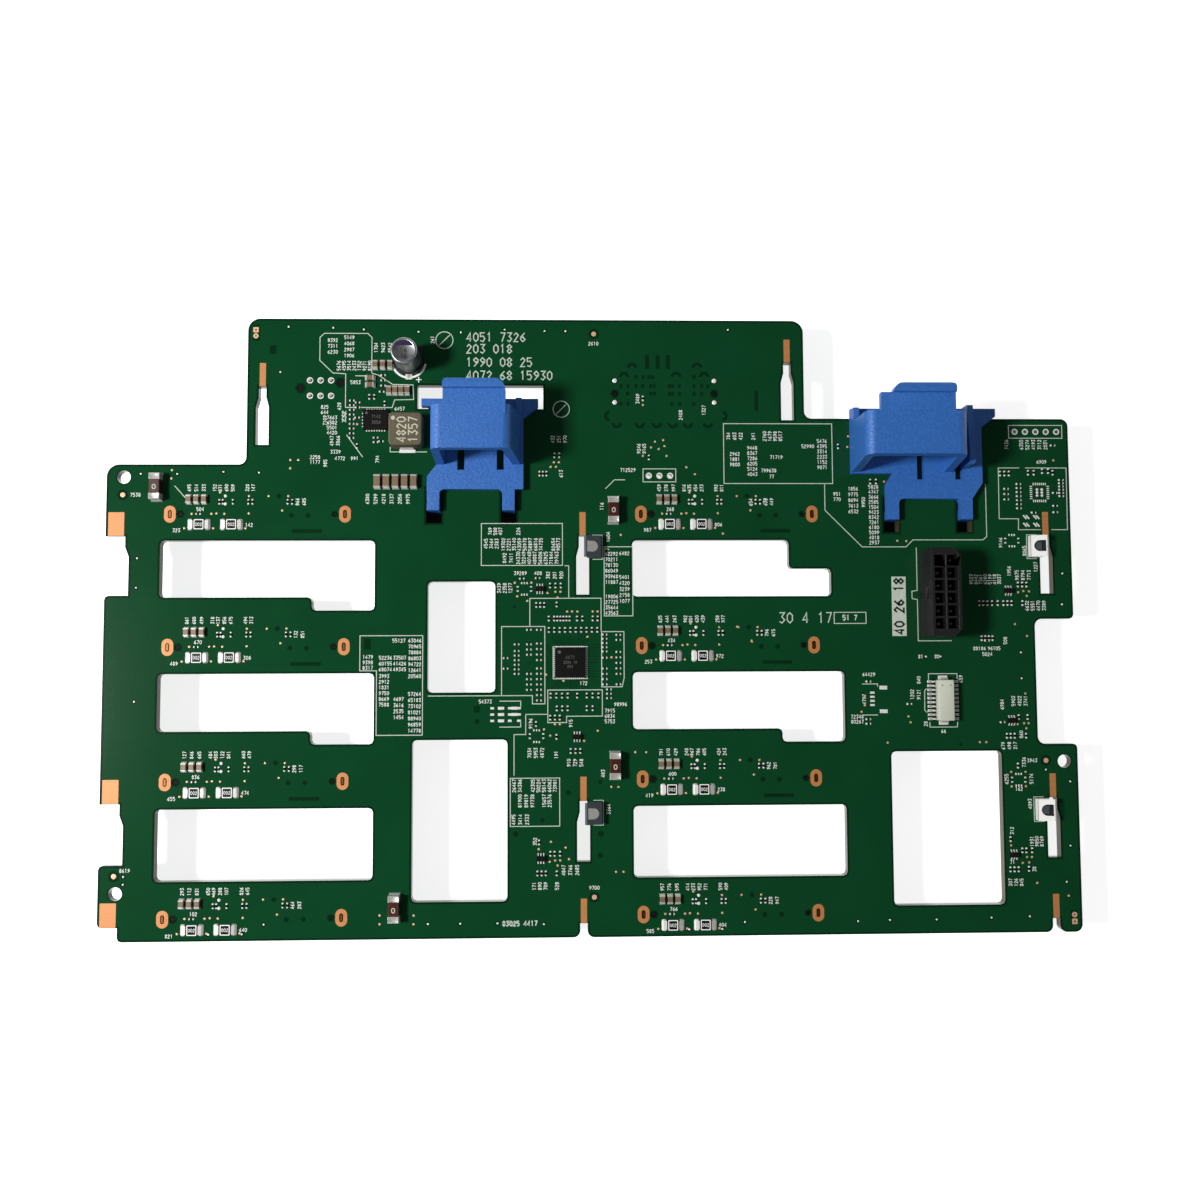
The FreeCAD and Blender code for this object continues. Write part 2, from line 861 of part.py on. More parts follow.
def power_pins():
    floor = board_high + power_height - cell_depth
    return [centred_block(x, y, power_pin, power_pin, floor, floor + power_pin_height)
            for x, y in power_cells()]


# The low signal header with gull-wing leads along both sides and a solder nail at each end
def signal_centre():
    return column_end + signal_x, rows[1] - signal_y


def signal_header():
    x, y = signal_centre()
    return centred_block(x, y, signal_width, signal_length, board_high + lead_thickness,
                         board_high + signal_height)


def signal_leads_and_nails():
    x, y = signal_centre()
    solids = []
    side_wall = signal_width / 2
    knee = board_high + signal_height / 2
    first = y - (signal_leads - 1) * signal_pitch / 2
    for n in range(signal_leads):
        low = first + n * signal_pitch - lead_width / 2
        for side in (-1, 1):
            wall = x + side * side_wall
            profile = [(wall, knee), (wall, board_high), (wall + side * lead_reach, board_high)]
            solids.append(prism_along_y(profile, low, low + lead_width))
    for side in (-1, 1):
        nail = y + side * (signal_length + nail_thickness) / 2
        solids.append(centred_block(x, nail, signal_width / 2, nail_thickness, board_high, knee))
    return solids


# Controller, supply and capacitor
def controller():
    x = column_b - controller_x
    y = rows[1] - controller_y
    half = controller_size / 2
    cut = corner_small / 2
    corners = [(x - half, y - half), (x + half, y - half), (x + half, y + half), (x - half + cut, y + half),
               (x - half, y + half - cut)]
    return prism(corners, board_high, board_high + controller_height)


def choke_centre():
    return column_a + lock_span + choke_x, rows[0] + choke_y


def choke():
    x, y = choke_centre()
    half = choke_size / 2
    low = board_high + solder_gap
    body = prism(rectangle(x - half, x + half, y - half, y + half, choke_radius), low, low + choke_height)
    top_edges = [edge for edge in body.Edges if edge.BoundBox.ZMin > low + choke_height - foil]
    return body.makeChamfer(choke_bevel, top_edges)


def choke_terminals():
    x, y = choke_centre()
    half = choke_size / 2
    return [block(x - half / 2, x + half / 2, y + side * half - foil, y + side * half + foil,
                  board_high, board_high + solder_gap) for side in (-1, 1)]


def regulator():
    x, y = choke_centre()
    right = x - choke_size / 2 - regulator_gap
    middle = y + regulator_up
    return block(right - regulator_length, right, middle - regulator_width / 2, middle + regulator_width / 2,
                 board_high, board_high + regulator_height)


def can_centre():
    return column_a + lock_span + can_x, rows[0] + can_y


def capacitor_base():
    x, y = can_centre()
    half = can_base_size / 2
    cut = can_base_height
    return prism([(x - half + cut, y - half), (x + half - cut, y - half), (x + half, y - half + cut),
                  (x + half, y + half), (x - half, y + half), (x - half, y - half + cut)],
                 board_high + solder_gap, board_high + can_base_height)


# The can is one turned profile: wall and bevelled top edge
def capacitor_can():
    x, y = can_centre()
    low = board_high + can_base_height
    top = low + can_height - can_base_height
    shoulder = can_radius - can_bevel
    profile = [(0, low), (can_radius, low), (can_radius, top - can_bevel), (shoulder, top), (0, top)]
    points = [vec(radius, 0, z) for radius, z in profile]
    face = Part.Face(Part.makePolygon(points + [points[0]]))
    can = face.revolve(vec(0, 0, 0), vec(0, 0, 1), 360)
    can.translate(vec(x, y, 0))
    return can


def capacitor_terminals():
    x, y = can_centre()
    half = can_base_size / 2
    return [centred_block(x, y + side * half, power_pin, lead_reach, board_high, board_high + solder_gap)
            for side in (-1, 1)]


# A chip part lying on the board, upright when long in Y
def chip(x, y, form, upright):
    length, width, height = form
    size_x, size_y = (width, length) if upright else (length, width)
    return centred_block(x, y, size_x, size_y, board_high, board_high + height)


# A fuse: its body between two metal end caps that stand a little proud of it
def fuse_solids(x, y):
    offset = (fuse_length - fuse_cap) / 2
    body = centred_block(x, y, fuse_width - solder_gap * 2, fuse_length - fuse_cap * 2,
                         board_high + solder_gap, board_high + fuse_height - solder_gap)
    caps = [centred_block(x, y + side * offset, fuse_width, fuse_cap, board_high, board_high + fuse_height)
            for side in (-1, 1)]
    return body, caps


def small_chips():
    centre_x = column_b - controller_x
    centre_y = rows[1] - controller_y
    chips = []
    for x, y, count, pitch in upright_runs:
        chips += [chip(centre_x + x + n * pitch, centre_y + y, tiny_chip, True) for n in range(count)]
    for x, y, count, pitch in flat_runs:
        chips += [chip(centre_x + x, centre_y + y - n * pitch, tiny_chip, False) for n in range(count)]
    return chips


def gate_chips():
    return [centred_block(x, y, gate_length, gate_width, board_high + solder_gap, board_high + gate_height)
            for x, y in gate_places]


def gate_leads():
    solids = []
    for x, y in gate_places:
        for side in (-1, 1):
            wall = y + side * gate_width / 2
            wedge = [(wall, board_high + gate_height / 2), (wall, board_high),
                     (wall + side * gate_lead * 2, board_high)]
            for n in (-1, 0, 1):
                low = x + n * gate_lead_pitch - gate_lead / 2
                solids.append(prism_along_x(wedge, low, low + gate_lead))
    return solids


# A ground clip: one folded strip whose upper arm rises towards the slot and has a window like a D, with
# the tongue cut from it bent down inside
def ground_clip(x, y, facing):
    tip = x - facing * clip_from_slot
    fold = tip - facing * clip_width
    t = clip_sheet
    low = board_high
    top = low + clip_height
    knee = top - clip_rise
    foot = fold + facing * clip_foot
    nose = tip - facing * t * 2
    profile = [(foot, low), (fold, low), (fold, knee), (nose, top), (tip, top - t * 2),
               (tip - facing * t, top - t * 2), (nose, top - t), (fold + facing * t, knee - t),
               (fold + facing * t, low + t), (foot, low + t)]
    strip = prism_along_y(profile, y - clip_length / 2, y + clip_length / 2)
    half = clip_window / 2
    middle = (fold + tip) / 2
    shape = [(middle + facing * half, y - half), (middle + facing * half, y + half), (middle, y + half),
             (middle - facing * half, y + half / 3), (middle - facing * half, y - half / 3),
             (middle, y - half)]
    window = prism(shape, low + t * 2, top + t)
    root = middle - facing * (half + t)
    end = middle + facing * (half + t)
    rise = knee + clip_rise * facing * (root - fold) / clip_width - t
    bent = [(root, rise), (root, rise + t), (end, rise + t - clip_tongue_drop),
            (end, rise - clip_tongue_drop)]
    tongue = prism_along_y(bent, y - half + t, y + half - t)
    return strip.cut(window).fuse(tongue)


def ground_clips():
    drop = clip_drop
    return [ground_clip(hook_middle, hook_first - drop, -1), ground_clip(hook_middle, hook_third - drop, -1),
            ground_clip(hook_right, hook_first - drop, 1), ground_clip(hook_right, hook_third - drop, 1)]


# Hidden six-way connector whose pins and two pegs come up through the board
def aux_centre():
    return column_a + aux_x, rows[0] + aux_y


def aux_pins():
    x, y = aux_centre()
    return [(x + n * aux_pitch, y + side * aux_row_pitch / 2) for side in (-1, 1) for n in (-1, 0, 1)]


def aux_pegs():
    x, y = aux_centre()
    return [(x - aux_peg_left, y), (x + aux_peg_right, y + aux_peg_rise)]


def aux_header():
    x, y = aux_centre()
    low = board_low - aux_depth
    middle = y + aux_peg_rise / 2
    body = centred_block(x, middle, aux_length, aux_width, low, board_low)
    cuts = [centred_block(pin_x, pin_y, aux_pin, aux_pin, low, board_low + foil)
            for pin_x, pin_y in aux_pins()]
    cuts.append(centred_block(x, middle, aux_length - aux_wall * 2, aux_width - aux_wall * 2,
                              low - foil, board_low - aux_floor))
    pegs = [hexagon(peg_x, peg_y, aux_peg_radius, board_low - foil, board_high - solder_gap)
            for peg_x, peg_y in aux_pegs()]
    return body.cut(cuts).fuse(pegs)


def aux_header_pins():
    return [centred_block(x, y, aux_pin, aux_pin, board_low - aux_depth + aux_wall, board_high + aux_tail)
            for x, y in aux_pins()]


# Hidden data connector with two rows of contacts in one long slot
def data_centre():
    return column_b + data_x, rows[0] + data_y


def data_pegs():
    x, y = data_centre()
    return [(x - data_peg_span / 2, y), (x + data_peg_span / 2, y)]


def data_holes():
    return [(x, y + rise) for x, y in data_pegs() for rise in (data_hole_high, -data_hole_low)]


def data_connector():
    x, y = data_centre()
    low = board_low - data_depth
    body = centred_block(x, y, data_length, data_width, low, board_low)
    ears = centred_block(x, y, data_ear_length, data_ear_width, board_low - data_depth / 2, board_low)
    slot = centred_block(x, y, data_slot_length, data_slot_width, low - foil, board_low - data_floor)
    pegs = [hexagon(peg_x, peg_y, data_peg_radius, board_low - foil, board_high - solder_gap)
            for peg_x, peg_y in data_pegs()]
    return body.fuse([ears] + pegs).cut(slot)


def data_contact_solids():
    x, y = data_centre()
    wall = data_slot_width / 2 - contact_thickness / 2
    first = x - (data_contacts - 1) * data_contact_pitch / 2
    return [centred_block(first + n * data_contact_pitch, y + side * wall, contact_width, contact_thickness,
                          board_low - data_depth + contact_thickness, board_low - data_floor)
            for n in range(data_contacts) for side in (-1, 1)]


# Rows of plated holes that carry no connector
def test_header():
    x = column_b + test_header_x
    y = rows[0] + test_header_y
    return [(x + n * header_pitch, y) for n in range(test_header_pins)]


def debug_header():
    x = x_right - debug_header_x
    y = shoulder_right_top - debug_header_y
    return [(x + n * header_pitch, y) for n in range(debug_header_pins)]


def supply_chips():
    origin_x = column_a + lock_span
    origin_y = rows[0]
    chips = []
    for run, form in ((input_run, supply_chip), (filter_run, bay_chip), (output_run, bay_chip)):
        x, y, count, pitch = run
        chips += [chip(origin_x + x + n * pitch, origin_y + y, form, True) for n in range(count)]
    x, y, count, pitch = side_run
    chips += [chip(origin_x + x, origin_y + y - n * pitch, bay_chip, False) for n in range(count)]
    return chips


def main():
    os.makedirs("parts", exist_ok=True)
    save("circuit_board", [circuit_board()])
    save("boardlocks", boardlocks())
    save("contact_pads", contact_pads())
    save("handle_left", [handle_solid(left_handle)])
    save("handle_right", [handle_solid(right_handle)])
    save("power_header_housing", [power_housing()])
    save("power_header_pins", power_pins())
    save("signal_header_body", [signal_header()])
    save("signal_header_leads", signal_leads_and_nails())
    save("controller_chip", [controller()])
    save("regulator_chip", [regulator()])
    save("choke_body", [choke()])
    save("choke_terminals", choke_terminals())
    save("capacitor_can", [capacitor_can()])
    save("capacitor_base", [capacitor_base()])
    save("capacitor_terminals", capacitor_terminals())
    save("supply_capacitors", supply_chips())
    bay_chips = []
    sense_chips = []
    for n, (x, y) in enumerate(bays()):
        middle = x + lock_span / 2
        save("drive_connector_%d" % (n + 1), [drive_housing(middle, y)])
        save("drive_contacts_%d" % (n + 1), drive_contacts(middle, y))
        bay_chips += [chip(x + offset, y + bay_capacitor_y, bay_chip, True) for offset in bay_capacitor_x]
        sense_chips += [chip(x + offset, y - sense_y, sense_chip, False) for offset in sense_x]
    save("bay_capacitors", bay_chips)
    save("sense_resistors", sense_chips)
    for n, (x, y) in enumerate(fuse_places):
        body, caps = fuse_solids(x, y)
        save("fuse_body_%d" % (n + 1), [body])
        save("fuse_caps_%d" % (n + 1), caps)
    for n, clip in enumerate(ground_clips()):
        save("ground_clip_%d" % (n + 1), [clip])
    save("gate_chips", gate_chips())
    save("gate_chip_leads", gate_leads())
    save("small_chips", small_chips())
    save("aux_header_housing", [aux_header()])
    save("aux_header_pins", aux_header_pins())
    save("data_connector_body", [data_connector()])
    save("data_connector_contacts", data_contact_solids())


main()
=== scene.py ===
import math
import bpy
import bmesh
from mathutils import Matrix, Vector


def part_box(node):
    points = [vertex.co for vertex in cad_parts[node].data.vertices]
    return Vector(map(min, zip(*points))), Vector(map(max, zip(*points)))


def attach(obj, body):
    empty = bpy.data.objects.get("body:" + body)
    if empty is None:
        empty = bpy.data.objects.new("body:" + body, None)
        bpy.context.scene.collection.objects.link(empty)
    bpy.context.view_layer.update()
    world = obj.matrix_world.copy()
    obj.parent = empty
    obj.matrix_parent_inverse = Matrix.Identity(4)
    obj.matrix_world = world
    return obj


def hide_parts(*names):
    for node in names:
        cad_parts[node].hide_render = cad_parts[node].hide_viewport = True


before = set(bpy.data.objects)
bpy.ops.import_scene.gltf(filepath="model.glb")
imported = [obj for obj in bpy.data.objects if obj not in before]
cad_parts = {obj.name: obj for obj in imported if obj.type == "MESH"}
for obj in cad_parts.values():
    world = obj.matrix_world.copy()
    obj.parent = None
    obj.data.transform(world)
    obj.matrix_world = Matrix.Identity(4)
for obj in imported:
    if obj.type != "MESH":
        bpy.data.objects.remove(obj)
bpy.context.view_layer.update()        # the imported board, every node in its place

mm = 0.001


# Helpers

# Corners closer than this, in metres, become one
weldReach = 1e-7


# An sRGB hex value as linear light
def hexColour(text):
    parts = [int(text[n:n + 2], 16) / 255 for n in (1, 3, 5)]
    return [p / 12.92 if p <= 0.04045 else ((p + 0.055) / 1.055) ** 2.4 for p in parts] + [1]


# Adds one node with its settings, its values and its links
def addNode(tree, kind, inputs={}, **settings):
    made = tree.nodes.new("ShaderNode" + kind)
    for name, value in settings.items():
        setattr(made, name, value)
    for name, value in inputs.items():
        if isinstance(value, bpy.types.NodeSocket):
            tree.links.new(value, made.inputs[name])
        else:
            made.inputs[name].default_value = value
    return made.outputs


def newSurface(name):
    made = bpy.data.materials.new(name)
    made.use_nodes = True
    made.node_tree.nodes.clear()
    return made, made.node_tree


def closeSurface(tree, inputs):
    shader = addNode(tree, "BsdfPrincipled", inputs)[0]
    addNode(tree, "OutputMaterial", {"Surface": shader})


# Texture scale for a pattern whose grain is this many millimetres across
def perMm(size):
    return 1 / (size * mm)


def startShape():
    return {"points": [], "faces": [], "skins": []}


# Joins loops of points, each loop as long as the next, into one closed form
def addHull(shape, rings, wrap=False, skin=0):
    first = len(shape["points"])
    size = len(rings[0])
    for ring in rings:
        shape["points"] += ring
    last = len(rings) if wrap else len(rings) - 1
    for n in range(last):
        a = first + n * size
        b = first + (n + 1) % len(rings) * size
        for k in range(size):
            m = (k + 1) % size
            shape["faces"].append((a + k, a + m, b + m, b + k))
    if not wrap:
        end = first + (len(rings) - 1) * size
        shape["faces"].append(tuple(range(first, first + size)))
        shape["faces"].append(tuple(range(end, end + size)))
    shape["skins"] += [skin] * (len(shape["faces"]) - len(shape["skins"]))


def rectangle(x, y, sizeX, sizeY):
    a, b = sizeX / 2, sizeY / 2
    return [(x - a, y - b), (x + a, y - b), (x + a, y + b), (x - a, y + b)]


# A rectangle with its corners rounded
def softRectangle(x, y, sizeX, sizeY, radius, steps=3):
    a, b = sizeX / 2 - radius, sizeY / 2 - radius
    loop = []
    for quarter, (px, py) in enumerate(((a, b), (-a, b), (-a, -b), (a, -b))):
        for n in range(steps + 1):
            turn = math.pi / 2 * (quarter + n / steps)
            loop.append((x + px + radius * math.cos(turn), y + py + radius * math.sin(turn)))
    return loop


def circle(x, y, radius, sides):
    turns = [2 * math.pi * (n + 0.5) / sides for n in range(sides)]
    return [(x + radius * math.cos(t), y + radius * math.sin(t)) for t in turns]


# A rounded slot shape, long in Y
def oval(x, y, width, length, sides):
    lift = (length - width) / 2
    return [(px, py + (lift if py > y else -lift)) for px, py in circle(x, y, width / 2, sides)]


def atHeight(loop, z):
    return [(x, y, z) for x, y in loop]


def addPrism(shape, loop, low, high, skin=0):
    addHull(shape, [atHeight(loop, low), atHeight(loop, high)], skin=skin)


# A block whose upper edges are trimmed
def addBrick(shape, x, y, sizeX, sizeY, low, high, trim=0.06, skin=0):
    full = rectangle(x, y, sizeX, sizeY)
    small = rectangle(x, y, sizeX - trim * 2, sizeY - trim * 2)
    addHull(shape, [atHeight(full, low), atHeight(full, high - trim), atHeight(small, high)], skin=skin)


# A turned form from (radius, height) steps
def addTurned(shape, x, y, profile, sides=12, skin=0):
    addHull(shape, [atHeight(circle(x, y, r, sides), z) for r, z in profile], skin=skin)


# A drop of solder on the board, from shares of its radius and height
domeSteps = ((1, 0), (0.92, 0.55), (0.5, 1))


def addDome(shape, x, y, radius, high, skin=0):
    addTurned(shape, x, y, [(radius * wide, top + high * rise) for wide, rise in domeSteps], 8, skin)


# The places of a run: one place, or several that repeat along x when upright and downwards when flat
def runPlaces(upright, x, y, count=1, pitch=0):
    return [(x + n * pitch, y) if upright else (x, y - n * pitch) for n in range(count)]


# A flat ring between two loops with as many points
def addRing(shape, outer, inner, low, high, skin=0):
    rings = [atHeight(outer, low), atHeight(outer, high), atHeight(inner, high), atHeight(inner, low)]
    addHull(shape, rings, wrap=True, skin=skin)


# A line of even width through points. At sharp corners its mitre is held back
mitreLimit = 0.45


def addStroke(shape, points, width, low, high, closed=False, skin=0):
    count = len(points)
    rings = []
    for n in range(count):
        here = Vector(points[n])
        ways = []
        if n > 0 or closed:
            ways.append((here - Vector(points[n - 1])).normalized())
        if n < count - 1 or closed:
            ways.append((Vector(points[(n + 1) % count]) - here).normalized())
        along = sum(ways, Vector((0, 0))).normalized()
        reach = width / 2 / max(mitreLimit, along.dot(ways[0]))
        side = Vector((-along.y, along.x)) * reach
        left, right = here + side, here - side
        rings.append([(left.x, left.y, low), (right.x, right.y, low),
                      (right.x, right.y, high), (left.x, left.y, high)])
    addHull(shape, rings, wrap=closed, skin=skin)


# Puts a mesh, a lamp or a camera into the scene
def addToScene(name, data):
    made = bpy.data.objects.new(name, data)
    bpy.context.scene.collection.objects.link(made)
    return made


# Runs one or more steps on a mesh
def workOn(mesh, *steps):
    work = bmesh.new()
    work.from_mesh(mesh)
    for step in steps:
        step(work)
    work.to_mesh(mesh)
    work.free()


def weld(work):
    bmesh.ops.remove_doubles(work, verts=work.verts, dist=weldReach)


def joinFlatFaces(work):
    bmesh.ops.dissolve_limit(work, angle_limit=math.radians(1), verts=work.verts, edges=work.edges)


def faceOutwards(work):
    bmesh.ops.recalc_face_normals(work, faces=work.faces)


# Makes a piece from a shape in millimetres
def makePiece(name, shape, materials, replaces=()):
    mesh = bpy.data.meshes.new(name)
    mesh.from_pydata([Vector(p) * mm for p in shape["points"]], [], shape["faces"])
    mesh.polygons.foreach_set("material_index", shape["skins"])
    return settle(name, mesh, materials, replaces)


# Makes a mesh a piece of the board, with its materials. Edges that turn by more than "smooth"
# stay sharp
def settle(name, mesh, materials, replaces=(), smooth=35):
    workOn(mesh, faceOutwards)
    for material in materials:
        mesh.materials.append(material)
    mesh.polygons.foreach_set("use_smooth", [smooth > 0] * len(mesh.polygons))
    mesh.set_sharp_from_angle(angle=math.radians(smooth))
    piece = addToScene(name, mesh)
    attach(piece, "root")
    if replaces:
        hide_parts(*replaces)
    return piece


# A CAD node as a piece of its own, so that its edges can be rounded where they turn by more than the angle
rounding = {"angle": 40, "smooth": 30, "steps": 2}


def roundedCopy(node, material, radius, segments=rounding["steps"]):
    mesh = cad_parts[node].data.copy()
    mesh.materials.clear()
    workOn(mesh, weld, joinFlatFaces)
    piece = settle(node + "_rounded", mesh, [material], [node], rounding["smooth"])
    bevel = piece.modifiers.new("edges", "BEVEL")
    bevel.width = radius * mm
    bevel.segments = segments
    bevel.limit_method = "ANGLE"
    bevel.angle_limit = math.radians(rounding["angle"])
    bevel.harden_normals = True
    return piece


# Gives a CAD node its material and leaves its form alone
def dress(material, node):
    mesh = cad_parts[node].data
    mesh.materials.clear()
    mesh.materials.append(material)


# A node's box in millimetres: its two corners, and x and y of its middle
def boxOf(node):
    low, high = (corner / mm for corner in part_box(node))
    return low, high, (low.x + high.x) / 2, (low.y + high.y) / 2


# Camera, light and floor

# Where the photograph was taken from, in millimetres and degrees
camera = {
    "place": (-7.586, -13.464, 300.968),
    "turn": (3.786, -1.752, -0.264),
    "lens": 36,
    "sensor": 36,
}

# The lamp stands to the left of the board and above it. What mirrors see of the walls fades between two
# heights, as shares of the way up
studio = {
    "lampPlace": (-420, -22, 490),
    "lampSize": 95,
    "lampPower": 4.2,
    "fill": 0.2,
    "ceiling": 0.04,
    "wallFade": (0.25, 0.8),
    "floorGlow": 0.79,
    "floorWhite": "#EDEDED",
    "floorSize": 3000,
    "floorDrop": 0.05,
}


def setCamera():
    data = bpy.data.cameras.new("camera")
    data.lens = camera["lens"]
    data.sensor_width = camera["sensor"]
    data.clip_start = 0.01
    view = addToScene("camera", data)
    view.location = Vector(camera["place"]) * mm
    view.rotation_euler = [math.radians(a) for a in camera["turn"]]
    bpy.context.scene.camera = view


# How much a ray sees of the white backdrop: camera and see-through rays all of it
def backdropShare(tree):
    path = addNode(tree, "LightPath")
    seen = addNode(tree, "Math", {0: path["Is Camera Ray"], 1: path["Is Transmission Ray"]},
                   operation="MAXIMUM")[0]
    return seen, path["Is Glossy Ray"]


def setWorld():
    world = bpy.data.worlds.new("studio")
    world.use_nodes = True
    tree = world.node_tree
    tree.nodes.clear()
    seen, glossy = backdropShare(tree)
    # mirrors see the white walls near the horizon and a dim ceiling
    direction = addNode(tree, "TexCoord")["Generated"]
    up = addNode(tree, "SeparateXYZ", {0: direction})["Z"]
    fadeFrom, fadeTo = studio["wallFade"]
    low = addNode(tree, "MapRange", {"Value": up, "From Min": fadeFrom, "From Max": fadeTo, "To Min": 1,
                                     "To Max": 0}, interpolation_type="SMOOTHSTEP")[0]
    walls = addNode(tree, "Math", {0: glossy, 1: low}, operation="MULTIPLY")[0]
    white = addNode(tree, "Math", {0: seen, 1: walls}, operation="MAXIMUM")[0]
    plain = addNode(tree, "MapRange", {"Value": glossy, "To Min": studio["fill"],
                                       "To Max": studio["ceiling"]})[0]
    strength = addNode(tree, "MapRange", {"Value": white, "To Min": plain, "To Max": 1})[0]
    light = addNode(tree, "Background", {"Color": (1, 1, 1, 1), "Strength": strength})[0]
    addNode(tree, "OutputWorld", {"Surface": light})
    bpy.context.scene.world = world


def setLamp():
    data = bpy.data.lights.new("softbox", "AREA")
    data.shape = "SQUARE"
    data.size = studio["lampSize"] * mm
    data.energy = studio["lampPower"]
    lamp = addToScene("softbox", data)
    lamp.location = Vector(studio["lampPlace"]) * mm
    lamp.rotation_euler = (-lamp.location).to_track_quat("-Z", "Y").to_euler()


def setFloor():
    material, tree = newSurface("paperSweep")
    seen, glossy = backdropShare(tree)
    share = addNode(tree, "Math", {0: seen, 1: glossy}, operation="MAXIMUM")[0]
    glow = addNode(tree, "Math", {0: share, 1: studio["floorGlow"]}, operation="MULTIPLY")[0]
    paper = addNode(tree, "BsdfDiffuse", {"Color": hexColour(studio["floorWhite"])})[0]
    shine = addNode(tree, "Emission", {"Color": (1, 1, 1, 1), "Strength": glow})[0]
    both = addNode(tree, "AddShader", {0: paper, 1: shine})[0]
    addNode(tree, "OutputMaterial", {"Surface": both})
    half = studio["floorSize"] / 2 * mm
    mesh = bpy.data.meshes.new("floor")
    low = -studio["floorDrop"] * mm
    corners = [(-half, -half, low), (half, -half, low), (half, half, low), (-half, half, low)]
    mesh.from_pydata(corners, [], [(0, 1, 2, 3)])
    mesh.materials.append(material)
    floor = addToScene("floor", mesh)


setCamera()
setWorld()
setLamp()
setFloor()
print("camera, light and floor are set")


# Materials

# Green liquid resist cured over glass-epoxy laminate: a deep green skin with a soft gloss, and at the
# routed edges the bare tan layers of glass cloth
def curedResist(name, light, dark):
    material, tree = newSurface(name)
    where = addNode(tree, "TexCoord")
    cloudy = addNode(tree, "TexNoise", {"Vector": where["Object"], "Scale": perMm(14), "Detail": 3})[0]
    weave = addNode(tree, "TexNoise", {"Vector": where["Object"], "Scale": perMm(0.6), "Detail": 2})[0]
    tone = addNode(tree, "Mix", {0: cloudy, 6: hexColour(dark), 7: hexColour(light)}, data_type="RGBA")[2]
    upright = addNode(tree, "SeparateXYZ", {0: where["Normal"]})["Z"]
    flat = addNode(tree, "Math", {0: upright}, operation="ABSOLUTE")[0]
    skin = addNode(tree, "Math", {0: flat, 1: 0.5}, operation="GREATER_THAN")[0]
    stretch = addNode(tree, "Mapping", {"Vector": where["Object"], "Scale": (1, 1, 6)})[0]
    layers = addNode(tree, "TexNoise", {"Vector": stretch, "Scale": perMm(1.6), "Detail": 3})[0]
    edge = addNode(tree, "Mix", {0: layers, 6: hexColour("#1F1D10"), 7: hexColour("#645B3C")},
                   data_type="RGBA")[2]
    colour = addNode(tree, "Mix", {0: skin, 6: edge, 7: tone}, data_type="RGBA")[2]
    rough = addNode(tree, "MapRange", {"Value": weave, "To Min": 0.12, "To Max": 0.17})[0]
    bump = addNode(tree, "Bump", {"Height": weave, "Strength": 0.15, "Distance": 0.01 * mm})[0]
    closeSurface(tree, {"Base Color": colour, "Roughness": rough, "Normal": bump, "Specular IOR Level": 0.2})
    return material


# A finish whose colour, gloss and dents all follow one noise. Grain and depth are in millimetres, "drawn"
# squeezes the noise along an axis into lines, and "gloss" is the roughness in its dark and light parts
def noisyFinish(name, light, dark, grain, detail, fixed, gloss=None, drawn=(1, 1, 1), dents=None):
    material, tree = newSurface(name)
    where = addNode(tree, "TexCoord")["Object"]
    squeezed = addNode(tree, "Mapping", {"Vector": where, "Scale": drawn})[0]
    noise = addNode(tree, "TexNoise", {"Vector": squeezed, "Scale": perMm(grain), "Detail": detail})[0]
    inputs = dict(fixed)
    inputs["Base Color"] = addNode(tree, "Mix", {0: noise, 6: hexColour(dark), 7: hexColour(light)},
                                   data_type="RGBA")[2]
    if gloss:
        inputs["Roughness"] = addNode(tree, "MapRange", {"Value": noise, "To Min": gloss[0],
                                                         "To Max": gloss[1]})[0]
    if dents:
        inputs["Normal"] = addNode(tree, "Bump", {"Height": noise, "Strength": dents[0],
                                                  "Distance": dents[1] * mm})[0]
    closeSurface(tree, inputs)
    return material


# Bare copper under a clear dip: even pale orange with faint brush marks, paler where solder has touched it
def dippedCopper(name, light, dark):
    return noisyFinish(name, light, dark, 1.2, 4, {"Metallic": 0.25}, (0.4, 0.6), (1, 7, 1))


# Solder that has wetted a pad: bright tin with a soft, uneven mirror
def brightSolder(name, light, dark, metallic):
    return noisyFinish(name, light, dark, 0.4, 2, {"Metallic": metallic}, (0.22, 0.45), dents=(0.3, 0.02))


# Drawn aluminium: a satin metal with fine draw lines round the can
def drawnAluminium(name, light, dark):
    return noisyFinish(name, light, dark, 1.4, 4, {"Metallic": 0.9}, (0.22, 0.42), (1, 1, 9))


# Cold-rolled spring strip with a tin flash: a grey mirror with rolling lines
def rolledStrip(name, light, dark, low, high, metallic):
    return noisyFinish(name, light, dark, 1, 4, {"Metallic": metallic}, (low, high), (1, 8, 1))


# Screen-printed epoxy ink: matt, and thinner in places, so that what lies under it shows through a little
def printedInk(name, light, dark):
    return noisyFinish(name, light, dark, 0.7, 3, {"Roughness": 0.6, "Specular IOR Level": 0.3})


# Hard gold flashed over nickel: a warm mirror, a little worn where the contacts rub
def flashedGold(name, light, dark):
    return noisyFinish(name, light, dark, 0.5, 2, {"Metallic": 1}, (0.2, 0.35))


